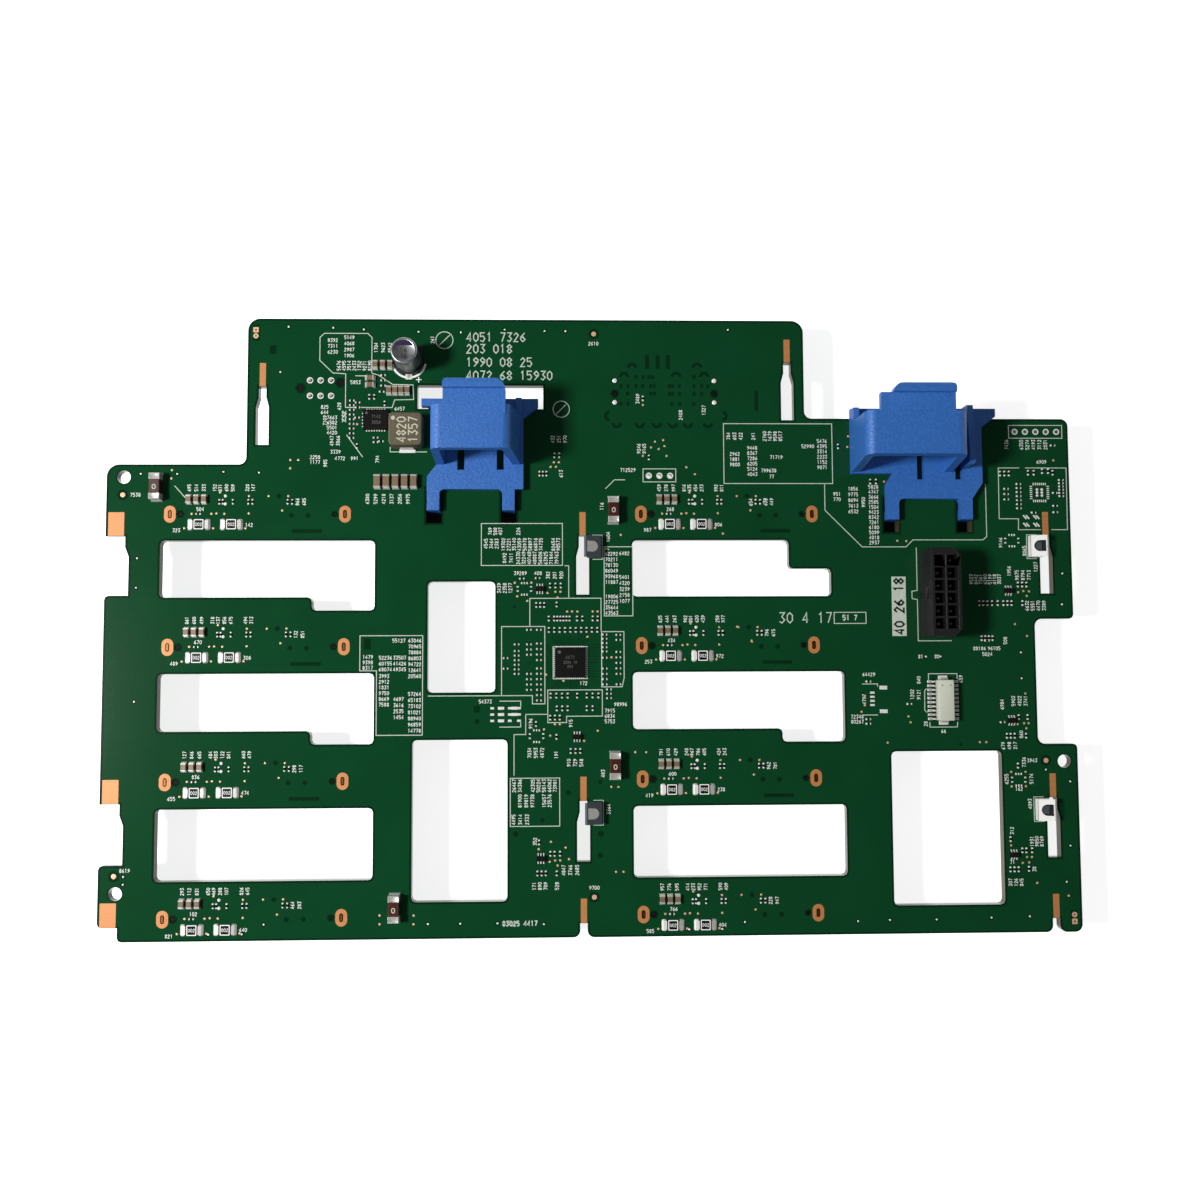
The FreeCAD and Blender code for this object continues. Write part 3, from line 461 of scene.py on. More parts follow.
# Moulded plastic: an even colour with the fine spark-eroded grain of its mould, drawn as coarse as it
# shows
def mouldedPlastic(name, light, dark, grain, low, high, depth=0.02, specular=0.5):
    material, tree = newSurface(name)
    where = addNode(tree, "TexCoord")["Object"]
    flow = addNode(tree, "TexNoise", {"Vector": where, "Scale": perMm(9), "Detail": 2})[0]
    pits = addNode(tree, "TexNoise", {"Vector": where, "Scale": perMm(grain), "Detail": 3})[0]
    colour = addNode(tree, "Mix", {0: flow, 6: hexColour(dark), 7: hexColour(light)}, data_type="RGBA")[2]
    rough = addNode(tree, "MapRange", {"Value": pits, "To Min": low, "To Max": high})[0]
    bump = addNode(tree, "Bump", {"Height": pits, "Strength": 0.35, "Distance": depth * mm})[0]
    closeSurface(tree, {"Base Color": colour, "Roughness": rough, "Normal": bump,
                        "Specular IOR Level": specular})
    return material


# Moulded polypropylene with an etched leather grain about half a millimetre across: its pits catch the
# light from the side and break it into a fine sparkle
def etchedPolymer(name, light, dark):
    material, tree = newSurface(name)
    where = addNode(tree, "TexCoord")["Object"]
    cells = addNode(tree, "TexVoronoi", {"Vector": where, "Scale": perMm(0.5)},
                    feature="SMOOTH_F1")["Distance"]
    pits = addNode(tree, "TexNoise", {"Vector": where, "Scale": perMm(0.45), "Detail": 3})[0]
    grain = addNode(tree, "Math", {0: cells, 1: pits}, operation="ADD")[0]
    fade = addNode(tree, "MapRange", {"Value": grain, "From Min": 0.55, "From Max": 1.15})[0]
    colour = addNode(tree, "Mix", {0: fade, 6: hexColour(dark), 7: hexColour(light)}, data_type="RGBA")[2]
    rough = addNode(tree, "MapRange", {"Value": pits, "To Min": 0.36, "To Max": 0.52})[0]
    bump = addNode(tree, "Bump", {"Height": grain, "Strength": 0.4, "Distance": 0.12 * mm})[0]
    closeSurface(tree, {"Base Color": colour, "Roughness": rough, "Normal": bump})
    return material


# Pressed iron powder in resin: matt olive brown with fine darker grains
def pressedPowder(name, light, dark, speck):
    material, tree = newSurface(name)
    where = addNode(tree, "TexCoord")["Object"]
    grains = addNode(tree, "TexVoronoi", {"Vector": where, "Scale": perMm(0.25)})["Distance"]
    flow = addNode(tree, "TexNoise", {"Vector": where, "Scale": perMm(2), "Detail": 3})[0]
    body = addNode(tree, "Mix", {0: flow, 6: hexColour(dark), 7: hexColour(light)}, data_type="RGBA")[2]
    mixed = addNode(tree, "Mix", {0: grains, 6: body, 7: hexColour(speck)}, data_type="RGBA")[2]
    bump = addNode(tree, "Bump", {"Height": grains, "Strength": 0.3, "Distance": 0.03 * mm})[0]
    closeSurface(tree, {"Base Color": mixed, "Roughness": 0.62, "Normal": bump})
    return material


resist = curedResist("curedResist", "#08301A", "#062713")
pourResist = curedResist("curedResistOverFoil", "#0D4526", "#0A3B1F")
copper = dippedCopper("dippedCopper", "#D28C53", "#B47442")
testCopper = dippedCopper("tinnedCopper", "#EBC39C", "#C79A74")
solder = brightSolder("brightSolder", "#F6F5F1", "#DAD9D2", 0.12)
platedTin = brightSolder("platedTin", "#D6D4CE", "#A8A6A0", 0.4)
bluePolymer = etchedPolymer("etchedPolypropylene", "#336CBA", "#2860AC")
# painted shade for the handles' feet under the board
paintedShadeFeet = mouldedPlastic("paintedFootShade", "#3B3C3A", "#2C2D2B", 0.5, 0.6, 0.8, 0.03, 0.2)
blackNylon = mouldedPlastic("mouldedBlackNylon", "#1C1C1C", "#0E0E0E", 0.6, 0.4, 0.6, 0.06, 0.35)
creamNylon = mouldedPlastic("mouldedCreamNylon", "#D6D9C8", "#C8CCBA", 0.4, 0.45, 0.6)
chipEpoxy = mouldedPlastic("mouldedChipEpoxy", "#151613", "#0D0E0C", 0.2, 0.5, 0.7, 0.02, 0.08)
powder = pressedPowder("pressedPowder", "#71674B", "#5A5138", "#433B28")
aluminium = drawnAluminium("drawnAluminium", "#B4B6B8", "#7E8082")
ceramic = mouldedPlastic("firedCeramic", "#867056", "#6A573F", 0.3, 0.3, 0.45, 0.01)
resistGlaze = mouldedPlastic("glassGlaze", "#17171A", "#0E0E10", 0.5, 0.15, 0.3, 0.005)
fuseCeramic = mouldedPlastic("glazedBrownCeramic", "#4E1D12", "#38130B", 0.4, 0.25, 0.4, 0.01)
# strips for the clips: one in painted shade, a painted lit copy, and one in deeper painted shade
paintedShadeStrip = rolledStrip("springStripPaintedShade", "#6E7880", "#4E5860", 0.25, 0.4, 0.7)
paintedLitStrip = rolledStrip("springStripPaintedLit", "#FFFFFC", "#F2F1EA", 0.35, 0.5, 0.05)
shadedStrip = rolledStrip("shadedSpringStrip", "#1E2022", "#121314", 0.5, 0.65, 0.5)
lockBronze = rolledStrip("rolledPhosphorBronze", "#8A6138", "#5C3F24", 0.3, 0.45, 0.9)
connectorPolymer = mouldedPlastic("mouldedCrystalPolymer", "#0E0E0F", "#070708", 0.3, 0.5, 0.7, 0.02, 0.12)
whiteInk = printedInk("printedWhiteInk", "#D5DBD0", "#A9B8A6")
denseInk = printedInk("printedDenseInk", "#FBFDF8", "#E3E9DF")
darkInk = printedInk("printedDarkInk", "#1C2620", "#101712")
greyInkAndDimpleShade = printedInk("greyInkAndPaintedDimpleShade", "#5E605E", "#484A48")
paleInk = printedInk("printedPaleInk", "#CFC9B4", "#B5AE97")
purpleInk = printedInk("printedPurpleInk", "#261C44", "#1B1434")
gold = flashedGold("goldFlash", "#EBC266", "#C99A3C")
print("materials are mixed")


# Board: the foil under the resist with its clearings, and everything drilled or printed on it

boardLow, boardHigh = boxOf("circuit_board")[:2]
top = boardHigh.z
underside = boardLow.z

# Every drive bay is known by the place of its left lock
locks = {"inset": 2.575, "span": 41.85}


def bayPlace(n):
    low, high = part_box("drive_connector_%d" % n)
    return low.x / mm + locks["inset"], (low.y + high.y) / 2 / mm


bays = [bayPlace(n) for n in range(1, 9)]

# The foil keeps clear of the board's edges and holes. Bars, crescents, squares and dots are more places
# where it is left out, so the resist lies lower there and looks darker. The last two bars, beside the
# signal header's body, are painted shade. Rows of squares: y, and x of each
pour = {
    "thick": 0.03, "edge": 0.5, "hole": 0.3, "smallHole": 3.4, "sides": 16, "sharpest": 0.5,
    "bars": [(13.2, 64.2, 1, 3.4), (15.8, 64.2, 1, 3.4), (18.3, 64.2, 1, 3.4), (40, 54.5, 0.9, 5),
             (-54.5, -4.8, 1.6, 2.6), (-28.3, -20.5, 1.4, 1.6), (-81.95, 71.1, 1.7, 4),
             # the two bars at x 81.9 and 87.2 are painted shade beside the signal header's body
             (115.2, -71.2, 1.7, 3.6), (-77.9, 66.9, 1.6, 2.2), (81.9, -18.8, 2, 10.3),
             (87.2, -18.8, 2, 10.3)],
    "crescents": [(9.5, 62.7, 90), (25.5, 62.8, 90), (7.5, 60.4, 90), (20.3, 60.5, 90), (27.2, 60.5, 90),
                  (3.9, 50.7, 180), (31.6, 50.8, 0), (5.7, 49, 270), (11.3, 49, 270), (15.5, 49, 270),
                  (19.4, 49, 270), (23.1, 49, 270), (28, 49, 270)],
    "crescentSize": (1.35, 0.55, 8),
    "squares": [(60.4, (8.6, 10.4, 12.2, 13.6, 14.5, 24.7)),
                (58.2, (6.7, 8.5, 10.4, 12.1, 14, 14.9, 18.6, 19.4, 21.1, 24.7, 26.6, 28.1)),
                (56.3, (6.7, 8.4, 14, 14.9, 18.6, 19.4, 21.1, 24.7, 26.6, 28.1)),
                (53.8, (6.7, 8.4, 19.2, 21.1, 24.6))],
    "squareSize": (0.76, 0.95),
    "bayBar": (32.8, -4.1, 7.2, 0.9), "lowestBarRow": -60,
    "bayDots": [(29, -0.3, 0.6), (33, -0.3, 0.6), (26, 4.4, 0.6)],
    "dots": [(-28.2, -23.4, 0.6), (-12.6, -47, 0.5), (-19, -50.2, 0.6), (-6.4, -40.5, 0.6), (1.2, -38, 0.5),
             (1.3, -50.3, 0.7), (1.2, -55.4, 0.7), (-19.3, 4.1, 0.4), (88.6, -29.6, 0.4)],
}

# Solder-filled vias, and the round marks that placing machines aim at
vias = {"radius": 0.24, "clear": 0.55, "high": 0.05, "crown": (0.12, 0.12), "sides": 10,
        "places": [(-74.2, 72.6), (-63.4, 72.4), (-56, 72), (-42.7, 71.5), (-32.4, 71.4), (-21.7, 72.1),
                   (-11.9, 71.8), (-6.8, 71.8), (33.2, 72.3), (-76.1, 61.4), (-109.1, 36.4),
                   (-100.4, 36.4), (-89.4, 36.9), (-80.9, 36.7), (-109.6, 16), (-109.7, 8.9),
                   (-109.6, -18.3), (-39.7, -71.1), (-32.1, -71.1), (-23.3, -71.1), (-12.3, -71.4),
                   (62.8, -71.5), (70.5, -71.3), (81.8, -71.3), (95.1, -71), (104.4, -70.8),
                   (109.3, -35.8), (115.2, -38.7), (114.8, -54.1), (113.6, -62.7), (114.8, 11.9),
                   (114.5, 4.3), (104, -7.4), (104, -13.7), (80.6, -8.3), (84.2, -8.3), (-111.3, -59.4),
                   (-111.3, -61.2), (-91.2, -73), (-83.4, -73), (-78.3, -70.8), (22.3, -73), (30.2, -73),
                   (35.6, -71.4)]}
aims = {"radius": 0.6, "clear": 1.3, "high": 0.05, "crown": (0.3, 0.07), "sides": 20, "clearSides": 24,
        "places": [(-113.3, 31.3), (-113.5, -59.3), (0.1, 71.1), (-0.3, -65.2), (109.4, -33.6)]}


# The outline and the holes of the board's upper face, each with the board on its left hand
upperFace = {"facing": 0.99, "reach": 0.01}


def boardLoops():
    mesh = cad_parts["circuit_board"].data
    sides = set()
    for face in mesh.polygons:
        if face.normal.z > upperFace["facing"] and face.center.z / mm > top - upperFace["reach"]:
            spots = [mesh.vertices[v].co / mm for v in face.vertices]
            keys = [(round(s.x, 3), round(s.y, 3)) for s in spots]
            for a, b in zip(keys, keys[1:] + keys[:1]):
                if (b, a) in sides:
                    sides.remove((b, a))
                else:
                    sides.add((a, b))
    ahead = dict(sorted(sides))
    loops = []
    while ahead:
        start, here = ahead.popitem()
        loop = [start]
        while here != start:
            loop.append(here)
            here = ahead.pop(here)
        loops.append(loop)
    return loops


def isSmall(loop):
    return max(max(axis) - min(axis) for axis in zip(*loop)) < pour["smallHole"]


# Moves a loop to its left hand by a distance, with its sharpest corners held back
def shifted(loop, distance):
    moved = []
    for n, point in enumerate(loop):
        here = Vector(point)
        come = (here - Vector(loop[n - 1])).normalized()
        go = (Vector(loop[(n + 1) % len(loop)]) - here).normalized()
        along = (come + go).normalized()
        reach = distance / max(pour["sharpest"], along.dot(come))
        moved.append((here.x - along.y * reach, here.y + along.x * reach))
    return moved


# A flat sheet with holes, from loops in millimetres
def sheetFrom(name, loops, low, high):
    curve = bpy.data.curves.new(name, "CURVE")
    curve.dimensions = "2D"
    curve.fill_mode = "BOTH"
    curve.extrude = (high - low) / 2
    for loop in loops:
        spline = curve.splines.new("POLY")
        spline.points.add(len(loop) - 1)
        for point, (x, y) in zip(spline.points, loop):
            point.co = (x, y, 0, 1)
        spline.use_cyclic_u = True
    holder = bpy.data.objects.new(name + "_line", curve)
    mesh = bpy.data.meshes.new_from_object(holder)
    bpy.data.objects.remove(holder)
    mesh.transform(Matrix.Scale(mm, 4) @ Matrix.Translation((0, 0, (low + high) / 2)))
    workOn(mesh, weld)
    mesh.materials.clear()
    return mesh


# Half a ring that opens away from the direction, in degrees, that it is turned to
def crescent(x, y, turn):
    outer, inner, steps = pour["crescentSize"]
    angles = [math.radians(turn) + math.pi * (n / steps - 0.5) for n in range(steps + 1)]
    far = [(x + outer * math.cos(a), y + outer * math.sin(a)) for a in angles]
    near = [(x + inner * math.cos(a), y + inner * math.sin(a)) for a in reversed(angles)]
    return far + near


# Keeps the loops whose boxes stay clear of the near ones and of every loop kept before, as a sheet can't
# have holes that cross
def keptApart(loops, near):
    boxes = [loopBox(loop) for loop in near]
    kept = []
    for loop in loops:
        x1, y1, x2, y2 = loopBox(loop)
        if all(x1 > b[2] or x2 < b[0] or y1 > b[3] or y2 < b[1] for b in boxes):
            kept.append(loop)
            boxes.append((x1, y1, x2, y2))
    return kept


def loopBox(loop):
    xs, ys = zip(*loop)
    return min(xs), min(ys), max(xs), max(ys)


def makePour():
    rims = [shifted(loop, pour["hole"] if isSmall(loop) else pour["edge"]) for loop in boardLoops()]
    loops = [rectangle(*bar) for bar in pour["bars"]]
    loops += [circle(*dot, pour["sides"]) for dot in pour["dots"]]
    loops += [crescent(*place) for place in pour["crescents"]]
    loops += [rectangle(x, y, *pour["squareSize"]) for y, xs in pour["squares"] for x in xs]
    for bayX, bayY in bays:
        if bayY > pour["lowestBarRow"]:
            x, y, wide, long = pour["bayBar"]
            loops.append(rectangle(bayX + x, bayY + y, wide, long))
        loops += [circle(bayX + x, bayY + y, radius, pour["sides"]) for x, y, radius in pour["bayDots"]]
    loops += [circle(*place, vias["clear"], pour["sides"]) for place in vias["places"]]
    loops += [circle(*place, aims["clear"], aims["clearSides"]) for place in aims["places"]]
    loops = rims + keptApart(loops, [loop for loop in rims if isSmall(loop)])
    above = sheetFrom("pour", loops, top, top + pour["thick"])
    below = sheetFrom("pour_below", rims, underside - pour["thick"], underside)
    settle("foil_under_resist", above, [pourResist], smooth=0)
    settle("foil_under_resist_below", below, [pourResist], smooth=0)


# Collars that turn the rims of the drilled holes round: in solder where the hole's radius is that of a
# soldered tail, and in resist elsewhere
collars = {"high": 0.05, "sides": 24, "tails": (0.5, 0.56), "tinned": 0.22, "plain": 0.16, "inner": 0.84}

# The four legs of the data connector below come through in domes of solder
legDomes = {"radius": 0.62, "high": 0.34, "near": 1,
            "places": [(5.3, 59.4), (4.9, 54), (29.5, 59.5), (30, 54)]}

# The hole beside each left lock holds a peg of the drive connector below: how far it is from the lock, how
# near that a hole must be, and the peg's steps as shares of the radius and depths under the board's top
pegs = {"from": 2.6, "near": 1, "wide": 0.8, "deep": 1.5, "tipWide": 0.5, "tipDeep": 1.3}


# The middle and the radius of a drilled hole, which has six corners here, or nothing for another loop
drilledCorners = 6


def drilledHole(loop):
    if not isSmall(loop) or len(loop) != drilledCorners:
        return None
    xs, ys = zip(*loop)
    return sum(xs) / drilledCorners, sum(ys) / drilledCorners, (max(xs) - min(xs)) / 2


def isNear(x, y, places, reach):
    return any(math.hypot(x - px, y - py) < reach for px, py in places)


def makeRims():
    rims = startShape()
    ends = startShape()
    pegPlaces = [(x + pegs["from"], y) for x, y in bays]
    for x, y, radius in filter(None, map(drilledHole, boardLoops())):
        domed = isNear(x, y, legDomes["places"], legDomes["near"])
        skin = 1 if collars["tails"][0] < radius < collars["tails"][1] and not domed else 0
        outer = circle(x, y, radius + collars["tinned" if skin else "plain"], collars["sides"])
        inner = circle(x, y, radius * collars["inner"], collars["sides"])
        addRing(rims, outer, inner, top, top + collars["high"], skin)
        if domed:
            addDome(rims, x, y, legDomes["radius"], legDomes["high"], 1)
        if isNear(x, y, pegPlaces, pegs["near"]):
            body, tip = radius * pegs["wide"], radius * pegs["tipWide"]
            addTurned(ends, x, y, [(body, underside), (body, top - pegs["deep"]),
                                   (tip, top - pegs["tipDeep"])])
    makePiece("hole_rims", rims, [resist, solder])
    makePiece("connector_pegs", ends, [connectorPolymer])


# Oval copper lands of the drive connectors' locks, with a raised inner ring, on both faces
lands = {"width": 2.8, "length": 4.1, "inner": 0.5, "hole": (0.95, 2.05), "high": 0.07, "rise": 0.1,
         "sides": 32}


def makeLands():
    shape = startShape()
    wide, long, sides = lands["width"], lands["length"], lands["sides"]
    inset = lands["inner"] * 2
    for bayX, y in bays:
        for x in (bayX, bayX + locks["span"]):
            outer = oval(x, y, wide, long, sides)
            middle = oval(x, y, wide - inset, long - inset, sides)
            hole = oval(x, y, *lands["hole"], sides)
            addRing(shape, outer, hole, top, top + lands["high"])
            addRing(shape, middle, hole, top, top + lands["rise"])
            addRing(shape, outer, hole, underside - lands["high"], underside)
    makePiece("lock_lands", shape, [copper])


# Bare copper test points, absolute and then from each bay's left lock
testDots = {
    "radius": 0.27, "high": 0.06, "crown": (0.7, 0.09), "sides": 12,
    "places": [(-101.7, 37.3), (-101.8, 35.3), (-73.4, 39.8), (-71.5, 39.8), (-57.4, 48.6), (62.5, 45.8),
               (62.3, 43.2), (-9.7, 39.3), (-8.5, 39.3), (-10.5, 38.2), (-9.2, 38.2), (15, 44.4),
               (17, 44.8), (14, 43), (15.9, 42.6), (17.3, 43.3), (12, 40.9), (17.8, 40.9), (22.6, 38.1),
               (24.7, 36.4), (12.1, 53.5), (113.4, 39.9), (71.2, 34.6), (6.5, 21.5), (31.4, 21.8),
               (34.6, -0.9), (38.1, -4.3), (-6.6, 2.9), (-5.4, 2.9), (-4.1, 2.9), (-0.4, 2.9), (0.8, 2.9),
               (0.7, -25.8), (-12.2, -25.4), (-10.7, -26.9), (-2.6, -28.2), (-1.7, -3.2), (4.1, -8.2),
               (-9.6, -24.2), (-8.4, -24.2), (-19.2, 9.9), (-15.2, 9.9), (-18.6, 6.6), (-16.2, 5.5),
               (-11.3, 7.4), (-9.4, 7.7), (-8.2, 7.7), (-8.9, 6.3), (-7.5, -13.8), (-11.7, -12.3),
               (65.4, -18), (65.4, -20), (64.6, -21.6), (76, -22.8), (76.5, -24.2), (70.8, -29.1),
               (93.3, -29.1), (94.9, -29.1), (74.2, 20), (76.4, 19.9), (103.7, 7.3), (105, 7.6),
               (106.4, 7.5), (105.8, 6.4), (102.7, -0.5), (105.6, -3.4), (102.7, -24.8), (104.3, -24.6),
               (105.4, -24.6), (104.8, -25.8), (104.8, -17.4), (-13.5, -53.8), (-10.6, -52.1),
               (-7.1, -53.5), (-6.3, -56.2), (-10.9, -56.8), (-9.6, -56.5), (-8.4, -56.5), (-9, -57.7),
               (100.8, -36.3), (104.3, -36.3), (100.8, -39.8), (104.3, -39.8), (100.3, -53.9),
               (104.1, -56.7), (105.3, -56.7), (103, -58.1), (104.6, -58), (106.4, -62.9), (114, -66),
               (-51.1, -69), (-51.1, -71), (-43.1, -69.1), (-43.1, -71.1), (3.9, -39.2), (5.6, -39.2),
               (4.9, -59.3), (6.7, -59.3), (9.7, -31), (12.3, -31), (-73.4, 37.8)],
    "bay": [(3.5, -3.4), (10.4, -3.4), (18.1, -3.4), (5.2, 0.1), (9.9, 0.1), (11.1, 0.2), (13, 0.1),
            (18.8, 0.2), (11.9, 5.3), (18.8, 4.4), (26.8, 0.9), (28.2, 4.4), (23.5, 4.4)],
}

# Test holes at two corners of the board, one in a square land and one in a round land
testHoles = {"size": 1.3, "hole": 0.4, "sides": 20, "square": [(-82.1, 71.8), (115.3, -72.1)],
             "round": [(-82.1, 70.3), (115.3, -70.5)]}


# A flat button with a lower crown: the crown is its radius and its height
def addButton(shape, x, y, radius, base, high, crown, sides, skin=0):
    addTurned(shape, x, y, [(radius, base), (radius, high), crown], sides, skin)


def makeTestPoints():
    shape = startShape()
    radius, high = testDots["radius"], top + testDots["high"]
    share, crownHigh = testDots["crown"]
    places = testDots["places"] + [(bayX + x, bayY + y) for bayX, bayY in bays for x, y in testDots["bay"]]
    for x, y in places:
        addButton(shape, x, y, radius, top, high, (radius * share, top + crownHigh), testDots["sides"])
    size, hole = testHoles["size"], testHoles["hole"]
    for x, y in testHoles["square"]:
        addRing(shape, rectangle(x, y, size, size), rectangle(x, y, hole, hole), top, high)
    for x, y in testHoles["round"]:
        outer, inner = circle(x, y, size / 2, testHoles["sides"]), circle(x, y, hole / 2, testHoles["sides"])
        addRing(shape, outer, inner, top, high)
    addMarks(shape, aims)
    makePiece("test_points", shape, [testCopper])
    tinned = startShape()
    addMarks(tinned, vias)
    makePiece("via_solder", tinned, [solder])


# A button at each place of the vias or of the aiming marks
def addMarks(shape, marks):
    crown, rise = marks["crown"]
    radius, high, sides = marks["radius"], top + marks["high"], marks["sides"]
    for x, y in marks["places"]:
        addButton(shape, x, y, radius, top, high, (crown, top + rise), sides)


# Thin tracks that fan out from the controller under the resist, and show as darker lines
tracks = {"count": 13, "pitch": 0.5, "width": 0.13, "spread": 0.42, "start": 0.3, "bend": 0.35, "tail": 0.4,
          "steps": (1.1, 2.3, 1.6, 2.8, 0.9), "sunk": 0.01, "thick": 0.02}


def makeTracks():
    low, high, x, y = boxOf("controller_chip")
    shape = startShape()
    base = top + pour["thick"] - tracks["sunk"]
    out = (high.x - low.x) / 2 + tracks["start"]
    for dx, dy in ((1, 0), (0, 1), (-1, 0), (0, -1)):
        for n in range(tracks["count"]):
            along = (n - (tracks["count"] - 1) / 2) * tracks["pitch"]
            drift = along * tracks["spread"]
            end = out + abs(drift) + tracks["steps"][n % len(tracks["steps"])]
            bend = out + tracks["bend"]
            line = [(out, along), (bend, along), (bend + abs(drift), along + drift),
                    (end + tracks["tail"], along + drift)]
            points = [(x + dx * p - dy * q, y + dy * p + dx * q) for p, q in line]
            addStroke(shape, points, tracks["width"], base, base + tracks["thick"])
    makePiece("controller_tracks", shape, [resist])


dress(resist, "circuit_board")
dress(copper, "contact_pads")
dress(lockBronze, "boardlocks")
makePour()
makeTracks()
makeRims()
makeLands()
makeTestPoints()
print("board, foil, lands and test points are on")


# Solder joints and the tiny chip parts between them

# Runs of parts: x and y of the first, then how many and how far apart where there are more
tinyParts = {
    "length": 0.9, "high": 0.36, "solder": 0.29, "solderHigh": 0.8, "body": (0.62, 0.4), "trim": 0.05,
    "upright": [(-11, 1.2), (-9.7, 1.2, 6, 0.74), (-4.2, 1.2, 2, 1.3), (-0.4, 1.2, 2, 1.2),
                (-11, -1.55, 10, 1.3), (-10.6, -17.35, 4, 1.37), (-4.2, -17.35), (-1.9, -17.35, 3, 1.4),
                (-9.1, -20.4, 3, 1.3), (-1.9, -20.4, 2, 1.4), (-10.7, -22.6, 3, 1.15), (-14, 4.5, 3, 0.95),
                (-9.1, 4.6), (-10.7, 9.2, 3, 1.3), (-14.1, -24.1), (-9.2, -27.2), (-5.8, -30.6, 3, 1.15),
                (-13.4, -52.2), (-10.7, -54.9, 2, 1), (-8.4, -54.9), (-13.8, -59.5, 3, 1), (-9.2, -59.5),
                (102.5, -34.8), (100.2, -52.4), (103, -55.1, 2, 1), (105.4, -55.1), (100, -59.6, 3, 1),
                (104.5, -59.5), (94, 4.65, 3, 1), (97.2, 4.65, 2, 1.4), (100, 4.65, 3, 1), (104.7, 4.65),
                (103.7, 9.2, 3, 1.05), (94.4, -3.9, 4, 0.9), (100, -27.6, 3, 0.95), (104.7, -27.6),
                (103, -23.1), (105.2, -23.1), (-13.2, 36.5, 3, 0.85), (-9.6, 41, 2, 1.2), (12.1, 55.1),
                (13.5, 40.5), (60, 43.3), (67.8, 34.6, 2, 1.4), (107, 36.8, 2, 1.4), (110.5, 37.2, 2, 1.5),
                (100, 36.6, 3, 1.1), (113.1, 36.8), (-54.5, 55.3, 2, 1.2), (-50.8, 53.7), (-57.4, 43.2)],
    "flat": [(-13.4, -1.5), (-13.4, -4.8, 4, 1.33), (-13.4, -10.8, 7, 1.28), (-15.8, -1.5),
             (-15.8, -5, 3, 1.25), (-15.8, -12.1, 4, 1.28), (-18.75, -5), (-18.75, -6.6, 6, 1.1),
             (-21.4, -8.3, 2, 2.5), (2.45, -2.7, 5, 1.02), (2.45, -8.3), (2.45, -10.9, 4, 1.27),
             (5.75, -2.8, 2, 1.2), (5.75, -6.9, 5, 1.32), (5.75, -14.7), (3.45, -15.9, 3, 1.05),
             (-17.5, 10.9), (-13.7, 11), (66.4, -14.3), (66.2, -23.4, 2, 1.1), (115.1, 35, 6, 0.8),
             (104.5, 34, 7, 1), (101.4, 32.8, 3, 1.3), (108.1, 26.9), (113.5, 31.8), (113.5, 28.6, 2, 1.6),
             (99, -24.3), (-58.7, 54.4, 9, 1.15), (95.7, -4.5), (76.3, -19.8), (-51.2, 60.7, 3, 1.3),
             (-51.5, 56.6), (-57.3, 53.9, 2, 1.2), (-57.4, 50.2), (-52.9, 45.3, 2, 1.1), (-51.6, 44.4),
             (113.3, 43.6)],
    "bayUpright": [(11.8, 3), (12.6, 3), (15, 3), (18.7, 3), (19.7, 3), (28.1, 3), (29.2, 3)],
    "bayFlat": [(6.8, 0.05)],
    "bayBlobs": [(13.2, 4.4), (13.2, 2.5)], "blob": (0.42, 0.3),
}


# Two drops of solder with a brick of epoxy between them
def addTinyPart(shape, x, y, upright):
    length, high = tinyParts["length"], tinyParts["high"]
    for reach in (-length / 2, length / 2):
        spot = (x, y + reach) if upright else (x + reach, y)
        addDome(shape, *spot, tinyParts["solder"], high * tinyParts["solderHigh"])
    share, wide = tinyParts["body"]
    size = (wide, length * share) if upright else (length * share, wide)
    addBrick(shape, x, y, *size, top, top + high, tinyParts["trim"], 1)


def makeTinyParts():
    shape = startShape()
    for key, upright in (("upright", True), ("flat", False)):
        for run in tinyParts[key]:
            for x, y in runPlaces(upright, *run):
                addTinyPart(shape, x, y, upright)
    for bayX, bayY in bays:
        for key, upright in (("bayUpright", True), ("bayFlat", False)):
            for x, y in tinyParts[key]:
                addTinyPart(shape, bayX + x, bayY + y, upright)
        for x, y in tinyParts["bayBlobs"]:
            addDome(shape, bayX + x, bayY + y, *tinyParts["blob"])
    makePiece("tiny_chip_parts", shape, [solder, chipEpoxy], ["small_chips"])


# Bare pads of parts that were left off: small rings and one large ring, each round its middle, pairs of
# slanting strokes, and the footprints of connectors, as places across, places up, size and height
padRings = {"places": [(-16.9, 8.4), (-14, -27), (102.6, -38.2), (102.5, 20)], "reach": 1.4, "pitch": 0.65,
            "width": 0.32, "length": 0.5, "high": 0.12, "endReach": 1.61, "endPitch": 1.04}
bigRing = {"place": (109.7, 31.9), "reach": 2.1, "count": 7, "pitch": 0.5, "width": 0.26, "length": 0.6,
           "high": 0.1, "trim": 0.03, "dots": (0.6, 0.75), "dot": (0.36, 0.15)}
slashes = {"places": [(106.2, 25.8), (108.7, 25.8), (106.2, 23.9), (108.7, 23.9)], "apart": 0.35,
           "half": (0.4, 0.45), "width": 0.36, "high": 0.14}
footprints = [((-24.6, -20.4, -18.2), (-20.3, -21.8, -23.3), (0.9, 0.55), 0.15),
              ((-22.5,), (-20.3, -21.8, -23.3), (1.5, 0.7), 0.18),
              ((-19.3,), (-20.3, -21.8), (1.5, 0.7), 0.18),
              ((67.3,), (-17, -18, -19, -20), (1.1, 0.5), 0.12),
              ((70,), (-15.8, -21.5), (1.9, 0.9), 0.15)]


